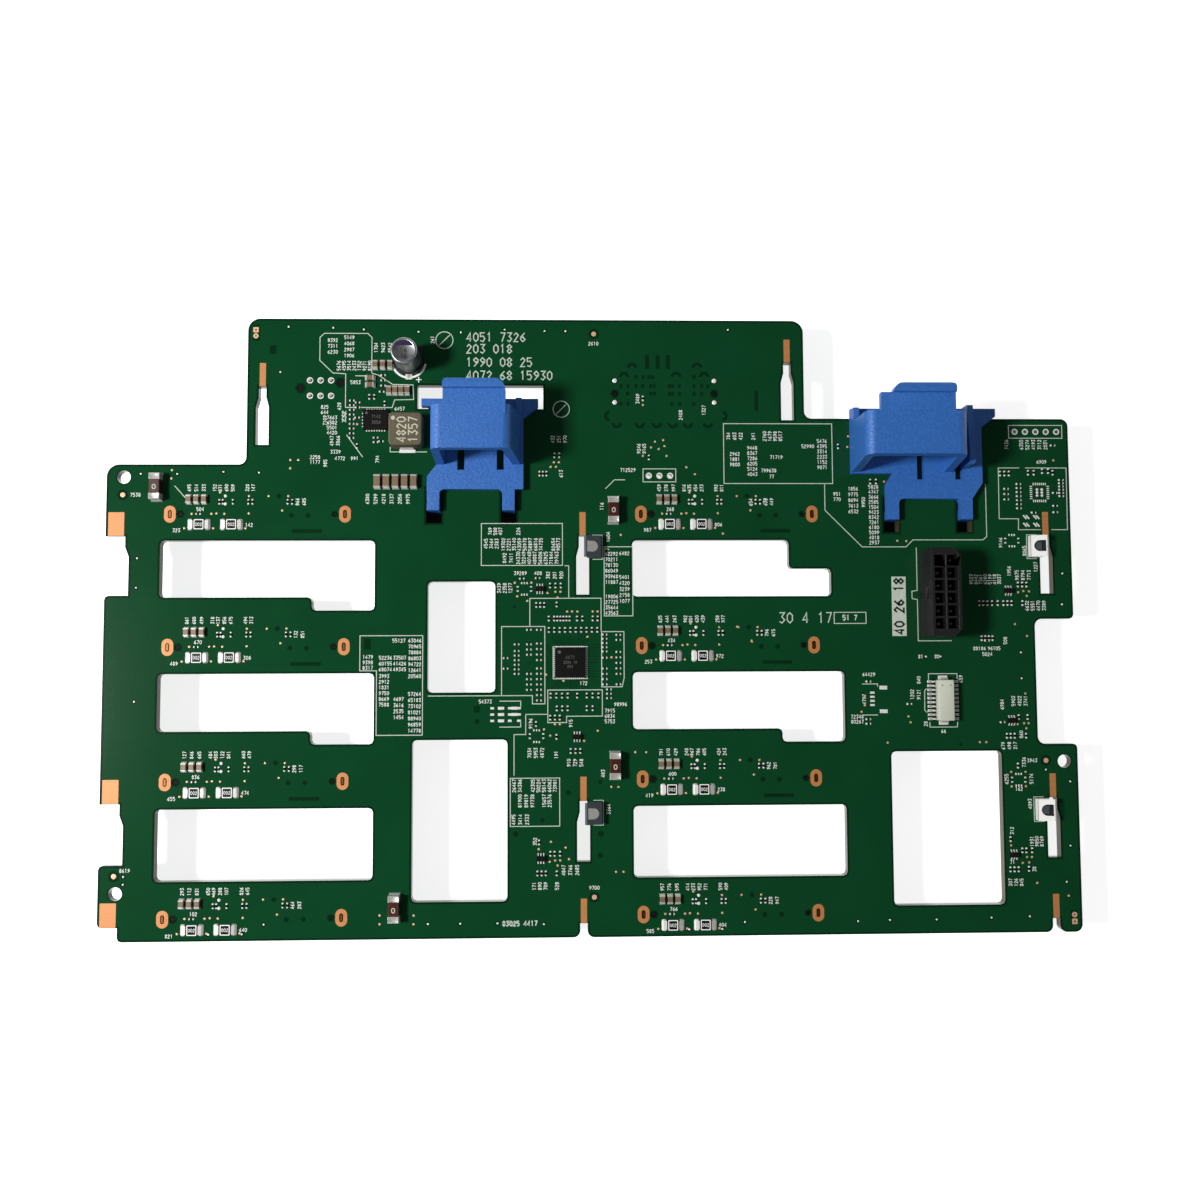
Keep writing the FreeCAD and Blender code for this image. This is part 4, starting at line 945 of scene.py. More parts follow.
def makeBarePads():
    shape = startShape()
    reach, pitch, high = padRings["reach"], padRings["pitch"], top + padRings["high"]
    wide, long = padRings["width"], padRings["length"]
    for x, y in padRings["places"]:
        for side in (-1, 1):
            for n in (-1, 0, 1):
                addBrick(shape, x + n * pitch, y + side * reach, wide, long, top, high)
            for n in (-0.5, 0.5):
                addBrick(shape, x + side * padRings["endReach"], y + n * padRings["endPitch"], long, wide,
                         top, high)
    x, y = bigRing["place"]
    wide, long, high = bigRing["width"], bigRing["length"], top + bigRing["high"]
    for reach in (-bigRing["reach"], bigRing["reach"]):
        for n in range(bigRing["count"]):
            along = (n - (bigRing["count"] - 1) / 2) * bigRing["pitch"]
            addBrick(shape, x + along, y + reach, wide, long, top, high, bigRing["trim"])
            addBrick(shape, x + reach, y + along, long, wide, top, high, bigRing["trim"])
    across, up = bigRing["dots"]
    for row in (-1, 0, 1):
        for side in (-1, 1):
            addDome(shape, x + side * across, y + row * up, *bigRing["dot"])
    halfX, halfY = slashes["half"]
    for x, y in slashes["places"]:
        for middle in (x - slashes["apart"], x + slashes["apart"]):
            addStroke(shape, [(middle - halfX, y + halfY), (middle + halfX, y - halfY)], slashes["width"],
                      top, top + slashes["high"])
    for xs, ys, size, high in footprints:
        for x in xs:
            for y in ys:
                addBrick(shape, x, y, *size, top, top + high)
    makePiece("bare_pads", shape, [solder])


makeTinyParts()
makeBarePads()
print("solder joints and tiny parts are on")


# Larger chip parts

# Ceramic capacitors: a brown body between tinned ends, fillets of solder on the pads
chipForms = {"end": 0.42, "trim": 0.1, "bodyTrim": 0.06, "proud": 0.04, "fillet": 0.6, "wet": 1.05,
             "rim": 0.1, "crest": (0.12, 0.8), "climb": 0.62}


# A capacitor with its ends and its solder, in the place of one solid
def addChipPart(shape, x, y, sizeX, sizeY, high):
    upright = sizeY > sizeX
    length, width = max(sizeX, sizeY), min(sizeX, sizeY)
    end, proud = chipForms["end"], chipForms["proud"]
    low = top + pour["thick"]

    def placed(offset, long, wide):
        return (x, y + offset, wide, long) if upright else (x + offset, y, long, wide)

    addBrick(shape, *placed(0, length - end * 2, width - proud * 2), low, top + high - proud,
             chipForms["bodyTrim"], 1)
    for side in (-1, 1):
        addBrick(shape, *placed(side * (length - end) / 2, end, width), low, top + high,
                 chipForms["trim"], 2)
        foot = rectangle(*placed(side * length / 2, chipForms["fillet"], width * chipForms["wet"]))
        long, share = chipForms["crest"]
        crest = rectangle(*placed(side * length / 2, long, width * share))
        addHull(shape, [atHeight(foot, top), atHeight(foot, top + chipForms["rim"]),
                        atHeight(crest, top + high * chipForms["climb"])])


# Every separate solid of a node as its middle and its size, in millimetres
def solidsOf(node):
    work = bmesh.new()
    work.from_mesh(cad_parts[node].data)
    weld(work)
    left = set(work.verts)
    found = []
    for vert in work.verts:
        if vert not in left:
            continue
        group = [vert]
        left.discard(vert)
        for here in group:
            for edge in here.link_edges:
                other = edge.other_vert(here)
                if other in left:
                    left.discard(other)
                    group.append(other)
        low = Vector([min(v.co[k] for v in group) for k in range(3)]) / mm
        high = Vector([max(v.co[k] for v in group) for k in range(3)]) / mm
        found.append(((low + high) / 2, high - low))
    work.free()
    return found


def makeCapacitorChips():
    for kind in ("supply", "bay"):
        shape = startShape()
        for middle, size in solidsOf(kind + "_capacitors"):
            addChipPart(shape, middle.x, middle.y, size.x, size.y, size.z)
        makePiece(kind + "_capacitor_parts", shape, [solder, ceramic, platedTin],
                  [kind + "_capacitors"])


# Current-sensing resistors: a glazed middle in a pale frame, and rounded ends deep in solder. The left end
# is bright solder as painted light and the right end darker plated tin as painted shade. The steps of an
# end are how far out, how much longer and wider than the end, and the share of its corner
sense = {"glaze": 1.9, "frame": 0.22, "frameCorners": (0.2, 0.15), "end": 1.15, "corner": 0.45,
         "proud": 0.04, "shy": (0.6, 0.1, 0.06), "trim": 0.05, "text": "002", "digits": 0.75, "stroke": 0.1,
         "rim": 0.12, "steps": [(0.12, 0.2, 0.3, 1), (0, -0.1, 0, 1), (-0.05, -0.3, -0.3, 0.7)]}


def makeSenseResistors():
    shape = startShape()
    proud, end, corner, rim = sense["proud"], sense["end"], sense["corner"], sense["rim"]
    shyX, shyY, shyFrame = sense["shy"]
    outerCorner, innerCorner = sense["frameCorners"]
    for middle, size in solidsOf("sense_resistors"):
        x, y = middle.x, middle.y
        high = top + size.z
        addBrick(shape, x, y, size.x - shyX, size.y - shyY, top + pour["thick"], high - proud,
                 sense["trim"], 1)
        wide, long = sense["glaze"], size.y - shyFrame
        outer = softRectangle(x, y, wide + sense["frame"] * 2, long, outerCorner)
        inner = softRectangle(x, y, wide, long - sense["frame"] * 2, innerCorner)
        addRing(shape, outer, inner, high - proud * 2, high - proud / 2, 3)
        addNumber(shape, sense["text"], x, y, sense["digits"], False, high - proud, high - proud / 2, 3,
                  sense["stroke"])
        # the end towards the lamp is bright solder and the far end darker plated tin: painted light and
        # painted shade
        for side in (-1, 1):
            mid = x + side * (size.x - end) / 2
            wet, crest, flat = [softRectangle(mid + side * out, y, end + more, size.y + wider,
                                              corner * share)
                                for out, more, wider, share in sense["steps"]]
            addHull(shape, [atHeight(wet, top), atHeight(wet, top + rim), atHeight(crest, high - rim),
                            atHeight(flat, high)], skin=0 if side < 0 else 2)
    makePiece("sense_resistor_parts", shape, [solder, resistGlaze, platedTin, denseInk],
              ["sense_resistors"])


# Six-leg packages: a moulded body with a parting line and bent legs. A leg's profile is how far out, and
# how high over the board or over the parting line
gate = {"low": 0.08, "high": 0.9, "face": (1.98, 1.16), "waist": (2.1, 1.3), "pitch": 0.65, "leg": 0.12,
        "upper": [(0.6, 0.05), (0.82, 0.03)], "foot": [(0.95, 0.12), (1.25, 0.1), (1.25, 0), (0.88, 0)],
        "lower": [(0.75, -0.07), (0.6, -0.05)]}


def makeGateChips():
    shape = startShape()
    low, high = top + gate["low"], top + gate["high"]
    half = (low + high) / 2
    steps = [(out, half + z) for out, z in gate["upper"]] + [(out, top + z) for out, z in gate["foot"]]
    steps += [(out, half + z) for out, z in gate["lower"]]
    for middle, _ in solidsOf("gate_chips"):
        x, y = middle.x, middle.y
        face, waist = rectangle(x, y, *gate["face"]), rectangle(x, y, *gate["waist"])
        addHull(shape, [atHeight(face, low), atHeight(waist, half), atHeight(face, high)])
        for side in (-1, 1):
            for n in (-1, 0, 1):
                legX = x + n * gate["pitch"]
                addHull(shape, [[(px, y + side * out, z) for out, z in steps]
                                for px in (legX - gate["leg"], legX + gate["leg"])], skin=1)
    makePiece("six_leg_chips", shape, [chipEpoxy, solder], ["gate_chips", "gate_chip_leads"])


# Fuses: a glazed brown tube of square section, a pale painted ring, and dished metal caps. The dish is how
# far out from the cap's middle, how much smaller than the cap and how deep. The solder is its foot and its
# crest, as how far out from the cap's end, share of its width, length and height
fuse = {"shy": 0.14, "raised": 0.1, "lower": 0.07, "trim": 0.14, "ring": (0.9, 1.25, 0.5, 0.85),
        "ringShift": 0.2, "ringHigh": (0.08, 0.045), "ringSides": 24, "capTrim": 0.15,
        "dish": (0.1, 0.9, 0.75, 0.12), "foot": (0.12, 1.05, 0.5, 0.12), "crest": (-0.05, 0.85, 0.1, 1.5)}


def makeFuses():
    for n in range(1, 5):
        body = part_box("fuse_body_%d" % n)
        low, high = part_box("fuse_caps_%d" % n)
        x, y = (low.x + high.x) / 2 / mm, (low.y + high.y) / 2 / mm
        width, length = (high.x - low.x) / mm, (high.y - low.y) / mm
        inner = (body[1].y - body[0].y) / mm
        high = high.z / mm
        tube = startShape()
        addBrick(tube, x, y, width - fuse["shy"], inner, top + fuse["raised"], high - fuse["lower"],
                 fuse["trim"])
        outerX, outerY, innerX, innerY = fuse["ring"]
        ringY = y - fuse["ringShift"]
        outer = oval(x, ringY, outerX, outerY, fuse["ringSides"])
        hole = oval(x, ringY, innerX, innerY, fuse["ringSides"])
        ringLow, ringHigh = fuse["ringHigh"]
        addRing(tube, outer, hole, high - ringLow, high - ringHigh, 1)
        makePiece("fuse_tube_%d" % n, tube, [fuseCeramic, whiteInk], ["fuse_body_%d" % n])
        ends = startShape()
        cap, trim = (length - inner) / 2, fuse["capTrim"]
        for side in (-1, 1):
            middle = y + side * (length - cap) / 2
            full = rectangle(x, middle, width, cap)
            small = rectangle(x, middle, width - trim * 2, cap - trim * 2)
            out, lessX, lessY, deep = fuse["dish"]
            dish = rectangle(x, middle + side * out, width - lessX, cap - lessY)
            addHull(ends, [atHeight(full, top), atHeight(full, high - trim), atHeight(small, high),
                           atHeight(dish, high - deep)])
            out, share, long, rim = fuse["foot"]
            foot = rectangle(x, y + side * (length / 2 + out), width * share, long)
            out, share, long, climb = fuse["crest"]
            crest = rectangle(x, y + side * (length / 2 + out), width * share, long)
            addHull(ends, [atHeight(foot, top), atHeight(foot, top + rim), atHeight(crest, top + climb)],
                    skin=1)
        makePiece("fuse_end_caps_%d" % n, ends, [platedTin, solder], ["fuse_caps_%d" % n])


# Printing: digits drawn as strokes on a grid two wide and four high, and how far apart they are on it
digitPitch = 3.05
digitLines = {
    "0": [(0, 1), (0, 3), (1, 4), (2, 3), (2, 1), (1, 0), (0, 1)],
    "1": [(0.3, 3.2), (1, 4), (1, 0)],
    "2": [(0, 3), (1, 4), (2, 3), (0, 0), (2, 0)],
    "3": [(0, 4), (2, 4), (0.9, 2.4), (2, 1.2), (1, 0), (0, 0.6)],
    "4": [(1.5, 0), (1.5, 4), (0, 1.2), (2, 1.2)],
    "5": [(2, 4), (0, 4), (0, 2.3), (1.3, 2.5), (2, 1.3), (1.2, 0), (0, 0.4)],
    "6": [(1.8, 4), (0, 2), (0, 1), (1, 0), (2, 1), (1, 2.2), (0, 1.4)],
    "7": [(0, 4), (2, 4), (0.7, 0)],
    "8": [(1, 2.1), (0, 3), (1, 4), (2, 3), (1, 2.1), (0, 1), (1, 0), (2, 1), (1, 2.1)],
    "9": [(0.2, 0), (2, 2), (2, 3), (1, 4), (0, 3), (1, 1.8), (2, 2.6)],
}


# A number round a point, turned a quarter where it is upright
def addNumber(shape, text, x, y, height, upright, low, high, skin, width):
    unit = height / 4
    pitch = unit * digitPitch
    start = -(len(text) * pitch - unit * (digitPitch - 2)) / 2
    for n, digit in enumerate(text):
        line = [(start + n * pitch + px * unit, (py - 2) * unit) for px, py in digitLines[digit]]
        if upright:
            line = [(-py, px) for px, py in line]
        addStroke(shape, [(x + px, y + py) for px, py in line], width, low, high, skin=skin)


printing = {"low": 0.03, "high": 0.06, "line": 0.2, "label": 0.84, "bayLabel": 0.95, "bayDigits": 3,
            "stroke": 0.115, "largeStroke": 0.27, "ring": 0.22, "ringBar": 0.6, "ringSides": 28,
            "clipLine": 0.16, "clipGap": 0.35}

# Printed lines, as corner points
printedLines = [
    [(-66.6, 70), (-65.5, 71), (-55, 71), (-54, 70), (-54, 61.2), (-52.4, 60.7), (-48.9, 58.4), (-44, 58.3),
     (-43.8, 54.7), (-48.4, 54.6), (-49, 52.7), (-60.3, 52.7), (-60.3, 61), (-63.4, 61.2), (-66.6, 64.3),
     (-66.6, 70)],
    [(-60, 46), (-56, 40.5)], [(-49.4, 43), (-49.4, 41.8), (-40.5, 41.8)],
    [(2.8, 32.8), (5, 35), (7.6, 35)],
    [(-56.3, -2.8), (-41.3, -2.8), (-41.3, -26.6), (-52.3, -26.6), (-52.3, -11.2), (-56.3, -11.2),
     (-56.3, -2.8)],
    [(104.8, 38), (99.6, 38), (99.5, 25.4), (104.3, 25.4), (104.2, 22.7), (109.8, 22.7)],
    [(106.3, 38), (116.5, 38), (116.4, 22.7), (112.4, 22.7)],
    [(-15.6, -0.7), (-15.6, 6.1), (1.6, 6.1), (1.6, -2)], [(-7.2, 14), (-6.2, 14), (-6.2, 6.1)],
    [(-10, -5.6), (-1.8, -5.6), (-1.8, -13.3), (-10, -13.3), (-10, -5.6)],
    [(1.6, -2), (7.1, -2), (7.1, -13.1), (6.6, -15.3), (1.7, -15.3), (1.7, -2)],
    [(-11.3, -16), (1.8, -16), (1.8, -22.3), (-6.8, -22.3), (-6.8, -23.8), (-11.3, -23.8), (-11.3, -16)],
    [(-40, -17.3), (-15, -17.3), (-15, -19.3), (-12, -19.3), (-12, -0.7), (-22.4, -0.7), (-22.4, -17.3)],
    [(-11.3, -21.8), (-16.6, -21.8), (-16.6, -26.6), (-19.4, -26.6), (-19.4, -36.4)],
    [(56.5, 34.1), (56.5, 27.5), (65.5, 18.5), (76.3, 18.5), (78, 20.2), (95.3, 20.2), (96.3, 21),
     (96.3, 34)],
    [(78.8, 18.3), (78.8, 7.8), (77.5, 7.6), (77.5, 5.8), (78.8, 5.6), (78.8, -4.5), (87, -4.5)],
    [(-22.9, -18.6), (-17.8, -18.6), (-17.8, -20)], [(-22.9, -24.8), (-17.8, -24.8), (-17.8, -23.6)],
    [(64.8, -14.9), (68.6, -14.9), (68.6, -15.6)], [(64.8, -22.4), (68.6, -22.4)],
    [(-58, 60.5), (-54, 60.5)], [(-101, 33.5), (-98.3, 30.5)],
    [(81.1, -14), (81.1, -12.5), (88.1, -12.5), (88.1, -13.8)],
    [(81.2, -24.2), (81.2, -25.4), (87.9, -25.4), (88, -24.2)],
    [(80.6, -16.1), (80.1, -16.5), (80, -21.3), (80.6, -21.9)],
]

# Printed boxes: left, right, bottom and top
printedBoxes = [(-27.3, -7.7, 14.1, 24.3), (31.8, 58.5, 34.1, 48.9), (12, 20, 34.5, 37.7),
                (102.4, 115.7, 45.4, 48.6), (2.4, 9.3, 1.8, 18.6), (-20.3, -8.5, -48.4, -37),
                (58.3, 66.1, -0.2, 2.5)]

# Rows of plain numbers: x and y of the first, how many digits, then how many numbers and how far apart
# where there are more. Upright ones are turned a quarter
numberRows = {
    "upright": [(-62, 63, 4, 7, 1.25), (-65.2, 49.5, 4), (-61.8, 53, 3), (-63.5, 44.5, 4, 2, 1.5),
                (-65, 39, 3), (-53, 67.5, 4, 3, 1.7), (-39.3, 69.5, 3), (-54.8, 30.3, 4, 6, 1.95),
                (-52.5, 40, 3), (-8, 36.5, 3), (-10, 45, 3, 3, 1.5), (10.8, 55, 4), (21.3, 51, 4),
                (27, 52.2, 4), (11, 42.7, 4, 2, 1.3), (33, 45.8, 3, 3, 1.5), (39.1, 45.8, 3),
                (41.9, 45.8, 4, 4, 1.3), (101.8, 43.8, 4), (105.5, 43.8, 4, 5, 1.5), (66, 29.5, 4),
                (-25.2, 22.4, 3, 3, 1.25), (-18.4, 22.4, 3), (-26.2, 19.4, 4, 3, 1.3),
                (-22, 19.2, 5, 8, 1.3), (-9.9, 19.2, 5, 2, 1.2), (-21.7, 15.9, 4, 2, 1.6),
                (-18.4, 15.9, 5, 8, 1.33), (-11.2, 11.7, 3, 3, 1.6), (-23, 8.6, 4, 3, 1.35),
                (-15.4, -24, 4), (-5.8, -24, 3), (-15.7, -31, 4, 3, 1.5), (-9.3, -31.5, 3),
                (-6.3, -33.4, 3, 3, 1.5), (-19.4, -38.8, 5, 2, 1.4), (-14.9, -38.8, 5, 5, 1.32),
                (-18, -42.4, 5, 3, 1.5), (-12.2, -42.4, 5, 2, 1.3), (-19.5, -46.8, 4, 3, 1.6),
                (-14.4, -52, 3), (-14.6, -62.5, 3, 3, 1.35), (-9.2, -62.5, 3), (-7.6, -58.8, 4, 3, 1.6),
                (3.4, 21, 4), (92.2, 10.5, 4, 7, 1.15), (101.6, 12.5, 4), (103.5, 11.5, 4, 3, 1.5),
                (105.8, 4, 4, 4, 1.4), (100.2, -4.5, 3), (108.2, 13.5, 4), (99.7, 19.5, 4),
                (105.5, 17.5, 4), (99, -20, 4), (101.8, -19.2, 4, 3, 1.5), (103.5, -27.3, 3),
                (99, -30, 3, 3, 1.5), (104, -34, 4), (99.6, -38, 4), (105.7, -38, 4), (105.2, -44, 4),
                (100.6, -50.4, 3), (105.4, -53, 4, 3, 1.2), (105.8, -59.6, 2), (99.9, -62.7, 3, 3, 1.35),
                (3.2, -44.5, 4), (1.9, -36, 3), (77, -17.5, 4, 2, 1.6), (78.7, -14, 3), (89, -13.8, 3),
                (80.2, -24.6, 2), (65.3, -18.6, 4), (1.9, 28.5, 3), (3.2, 18, 1), (38.3, 29.5, 3),
                (42, 29.5, 3)],
    "flat": [(-63.5, 69.3, 4, 3, 1.45), (-59.5, 70, 4, 4, 1.5), (-65.3, 52.8, 3, 2, 1.3),
             (-63.5, 50.2, 4, 4, 1.23), (-62.6, 41.8, 4), (-67.5, 40.5, 4, 2, 1.2),
             (-60.6, 51.4, 2, 3, 0.95), (-57.9, 58.9, 4), (-61.5, 40.2, 4), (-58, 40.2, 3), (0, 68.7, 4),
             (8.3, 37.4, 6), (38.8, 42.9, 4, 6, 1.3), (34.5, 41.4, 4, 3, 1.3), (44.7, 40.6, 5),
             (42.8, 37.3, 6), (43.5, 35.8, 2), (56, 44.6, 4, 6, 1.3), (52.5, 43.3, 5), (110.4, 39.5, 4),
             (68.5, 33.3, 4, 12, 1.25), (63.5, 32.8, 4, 5, 1.4), (59.5, 31.5, 3, 2, 1.3), (-17.9, 12.2, 5),
             (-13.6, 12.2, 3), (-47, -4, 5), (-43.2, -4, 5, 7, 1.42), (-54.4, -7.9, 4, 3, 1.3),
             (-50.2, -8.1, 5, 3, 1.4), (-50.5, -12.5, 4, 6, 1.36), (-46.8, -8.1, 5, 3, 1.4),
             (-43.2, -16.8, 5, 7, 1.46), (-47, -18, 4, 4, 1.45), (-26.3, -18.7, 5), (4.2, 16.9, 5, 6, 1.38),
             (4.2, 6.5, 5, 4, 1.33), (7.3, 17, 4), (7.3, 11.2, 4, 5, 1.45), (6.2, -19.5, 5),
             (3.6, -21, 4, 3, 1.3), (-2.7, -14.4, 3), (79.3, -8.3, 2), (83.3, -8.3, 2), (66.5, -12.6, 5),
             (63.5, -22.8, 5, 2, 1.2), (93.8, -6.4, 5), (97.4, -6.4, 5), (95.7, -7.8, 4), (106, -33.6, 4),
             (102.6, -40.4, 3), (100.5, -57.9, 2), (-0.3, -63, 4), (-111, -58, 4), (-110.3, 31.3, 4),
             (-47.2, 52.4, 4), (84.5, -26.4, 2)],
    "bayUpright": [(4.5, 6.4), (6.2, 6.4), (8, 6.4), (10.6, 6.4), (11.9, 6.4), (13.4, 6.4), (14.9, 6.4),
                   (18.4, 6.4), (19.8, 6.4), (30.4, 3), (32, 3)],
    "bayFlat": [(7.2, 1.2), (1.6, -3.9), (18.9, -2.6)],
    # large numbers: left end, y, height, digits
    "large": [(-31.2, 70.2, 2.15, "4051 7326"), (-31.2, 67.3, 2.15, "203 018"),
              (-31.2, 64, 2.15, "1990 08 25"), (-31.2, 60.7, 2.15, "4072 68 15930"),
              (44.6, 1.2, 2.5, "30 4 17"), (60.3, 1.2, 1.2, "51 7"), (-22.2, -71.2, 1.1, "83025 4417")],
}
darkPanel = {"x": 74.25, "y": 3.95, "width": 3.5, "length": 14.5, "number": "40 26 18", "height": 2.3,
             "stroke": 0.42, "ink": 0.03}
printedRings = [(-36.4, 69.4, 2.1), (-7.9, 52.4, 2)]


# A plain number that differs from place to place, as a prime step leaps through all of that many digits
numberStep = 7919


def plainNumber(seed, digits):
    low = 10 ** (digits - 1)
    return str(low + seed * numberStep % (9 * low))


def makePrintedLines(low, high):
    shape = startShape()
    for line in printedLines:
        closed = line[0] == line[-1]
        addStroke(shape, line[:-1] if closed else line, printing["line"], low, high, closed)
    for x1, x2, y1, y2 in printedBoxes:
        addStroke(shape, [(x1, y1), (x2, y1), (x2, y2), (x1, y2)], printing["line"], low, high, True)
    for x, y, radius in printedRings:
        bar = radius * printing["ringBar"]
        addStroke(shape, circle(x, y, radius, printing["ringSides"]), printing["ring"], low, high, True)
        addStroke(shape, [(x - bar, y - bar), (x + bar, y + bar)], printing["ring"], low, high)
    # half a box round each ground clip, on the side of its fold
    gap = printing["clipGap"]
    for n in range(1, 5):
        box = [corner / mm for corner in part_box("ground_clip_%d" % n)]
        x1, x2, y1, y2 = box[0].x - gap, box[1].x + gap, box[0].y - gap, box[1].y + gap
        inner = x2 if n < 3 else x1
        outer = (x1 + x2) / 2
        bracket = [(outer, y1), (inner, y1), (inner, y2), (outer, y2)]
        addStroke(shape, bracket, printing["clipLine"], low, high)
    makePiece("printed_lines", shape, [whiteInk])


def makePrintedNumbers(low, high):
    size, baySize = printing["label"], printing["label"] * printing["bayLabel"]
    labels = []
    for key, upright in (("upright", True), ("flat", False)):
        for x, y, digits, *run in numberRows[key]:
            labels += [(*place, digits, size, upright) for place in runPlaces(upright, x, y, *run)]
    for bayX, bayY in bays:
        for key, tall, upright in (("bayUpright", baySize, True), ("bayFlat", size, False)):
            labels += [(bayX + x, bayY + y, printing["bayDigits"], tall, upright)
                       for x, y in numberRows[key]]
    shape = startShape()
    for seed, (x, y, digits, tall, upright) in enumerate(labels, 4):
        addNumber(shape, plainNumber(seed, digits), x, y, tall, upright, low, high, 0, printing["stroke"])
    makePiece("printed_numbers", shape, [denseInk])


def makeLargeNumbers(low, high):
    shape = startShape()
    for x, y, height, text in numberRows["large"]:
        middle = x + len(text) * height / 4 * digitPitch / 2
        for word, offset in placedWords(text, height):
            addNumber(shape, word, middle + offset, y, height, False, low, high, 0, printing["largeStroke"])
    x, y, height = darkPanel["x"], darkPanel["y"], darkPanel["height"]
    addPrism(shape, rectangle(x, y, darkPanel["width"], darkPanel["length"]), low, high)
    for word, offset in placedWords(darkPanel["number"], height):
        addNumber(shape, word, x, y + offset, height, True, high, high + darkPanel["ink"], 1,
                  darkPanel["stroke"])
    makePiece("printed_large_numbers", shape, [whiteInk, darkInk])


def makePrinting():
    low, high = top + printing["low"], top + printing["high"]
    makePrintedLines(low, high)
    makePrintedNumbers(low, high)
    makeLargeNumbers(low, high)


# The words of a line of numbers, each with how far its middle is from the middle of the line
def placedWords(text, height):
    pitch = height / 4 * digitPitch
    placed = []
    start = 0
    for word in text.split(" "):
        placed.append((word, (start + len(word) / 2 - len(text) / 2) * pitch))
        start += len(word) + 1
    return placed


makeCapacitorChips()
makeSenseResistors()
makeGateChips()
makeFuses()
makePrinting()
print("chip parts, fuses and printing are on")


# Handles: the moulded forms with edges rounded as the mould leaves them, and feet under the board in a dark
# grey that is painted shade
handle = {"edge": 0.45, "steps": 3}


def makeHandles():
    for node in ("handle_left", "handle_right"):
        piece = roundedCopy(node, bluePolymer, handle["edge"], handle["steps"])
        piece.data.materials.append(paintedShadeFeet)
        # the faces under the board take a dark grey that is painted shade
        for face in piece.data.polygons:
            if face.center.z / mm < underside:
                face.material_index = 1


# Power header: housing with rounded edges, square pins with pointed tips, and the solder joints under the
# board, as steps of radius and depth
power = {"edge": 0.15, "tip": 0.4, "point": 0.6, "jointSides": 10,
         "joint": [(0.9, 0.05), (0.75, 0.5), (0.32, 1.2), (0.3, 1.7)]}


def makePowerHeader():
    roundedCopy("power_header_housing", blackNylon, power["edge"])
    shape = startShape()
    for middle, size in solidsOf("power_header_pins"):
        low, high = middle.z - size.z / 2, middle.z + size.z / 2
        full = rectangle(middle.x, middle.y, size.x, size.y)
        tip = rectangle(middle.x, middle.y, size.x * power["tip"], size.y * power["tip"])
        addHull(shape, [atHeight(full, low), atHeight(full, high - power["point"]), atHeight(tip, high)])
        joint = [(radius, underside - deep) for radius, deep in power["joint"]]
        addTurned(shape, middle.x, middle.y, joint, power["jointSides"], 1)
    makePiece("power_header_contacts", shape, [platedTin, solder], ["power_header_pins"])


# Signal header: a flat-topped cream body with two small moulding dimples whose middles are painted shade
# in grey, bent legs, and a nail at each end. A leg's profile is how far out from the wall, and how high over
# the board
signal = {"trim": 0.15, "corner": 0.25, "base": (0.1, 0.2), "bevel": 0.3, "dimple": 0.28, "hole": 0.6,
          "dimplePlaces": ((-0.26, 0.37), (0.28, 0.37)), "dimpleHigh": (0.05, 0.02, 0.004), "sides": 16,
          "pitch": 1.0, "legs": 10, "halfLeg": 0.2, "pad": (1.4, 1.1, 0.6, 0.12), "padTrim": 0.05,
          "nail": (0.3, 0.5, 1.4, 0.1), "nailPad": (0.6, 0.62, 0.9, 0.14),
          "leg": [(-0.1, 1.4), (0.45, 1.35), (0.85, 0.28), (1.7, 0.24), (1.7, 0.06), (0.7, 0.08),
                  (0.3, 1.15), (-0.1, 1.2)]}


def makeSignalHeader():
    low, high, x, y = boxOf("signal_header_body")
    wide, long = high.x - low.x, high.y - low.y
    trim = signal["trim"]
    bevel = trim * signal["bevel"]
    baseInset, baseHigh = signal["base"]
    shape = startShape()
    rings = [(baseInset, low.z), (0, low.z + baseHigh), (0, high.z - trim), (bevel, high.z - bevel),
             (trim, high.z)]
    addHull(shape, [atHeight(softRectangle(x, y, wide - inset * 2, long - inset * 2, signal["corner"]), z)
                    for inset, z in rings])
    size, sides = signal["dimple"], signal["sides"]
    below, rim, hollow = signal["dimpleHigh"]
    for across, along in signal["dimplePlaces"]:
        spot = (x + across * wide, y + along * long)
        outer, inner = circle(*spot, size, sides), circle(*spot, size * signal["hole"], sides)
        addRing(shape, outer, inner, high.z - below, high.z + rim)
        # the grey disc in the middle of each dimple is painted shade
        addPrism(shape, inner, high.z - below, high.z + hollow, 1)
    makePiece("signal_header_shell", shape, [creamNylon, greyInkAndDimpleShade], ["signal_header_body"])
    shape = startShape()
    first = y - (signal["legs"] - 1) * signal["pitch"] / 2
    out, padX, padY, padHigh = signal["pad"]
    for n in range(signal["legs"]):
        legY = first + n * signal["pitch"]
        for side in (-1, 1):
            wallX = x + side * wide / 2
            addHull(shape, [[(wallX + side * px, py, top + pz) for px, pz in signal["leg"]]
                            for py in (legY - signal["halfLeg"], legY + signal["halfLeg"])])
            addBrick(shape, wallX + side * out, legY, padX, padY, top, top + padHigh, signal["padTrim"],
                     1)
    for side in (-1, 1):
        out, nailY, nailHigh, nailTrim = signal["nail"]
        addBrick(shape, x, y + side * (long / 2 + out), wide / 2, nailY, top, top + nailHigh, nailTrim)
        out, share, padY, padHigh = signal["nailPad"]
        addBrick(shape, x, y + side * (long / 2 + out), wide * share, padY, top, top + padHigh, skin=1)
    makePiece("signal_header_legs", shape, [platedTin, solder], ["signal_header_leads"])


# A row of pads along two opposite sides of a chip, running along x or along y
padTrim = 0.03


def addPadRows(shape, x, y, alongX, reach, count, pitch, width, length, high, skin=0):
    for side in (-1, 1):
        for n in range(count):
            along = (n - (count - 1) / 2) * pitch
            spot = (x + along, y + side * reach) if alongX else (x + side * reach, y + along)
            size = (width, length) if alongX else (length, width)
            addBrick(shape, *spot, *size, top, top + high, padTrim, skin)


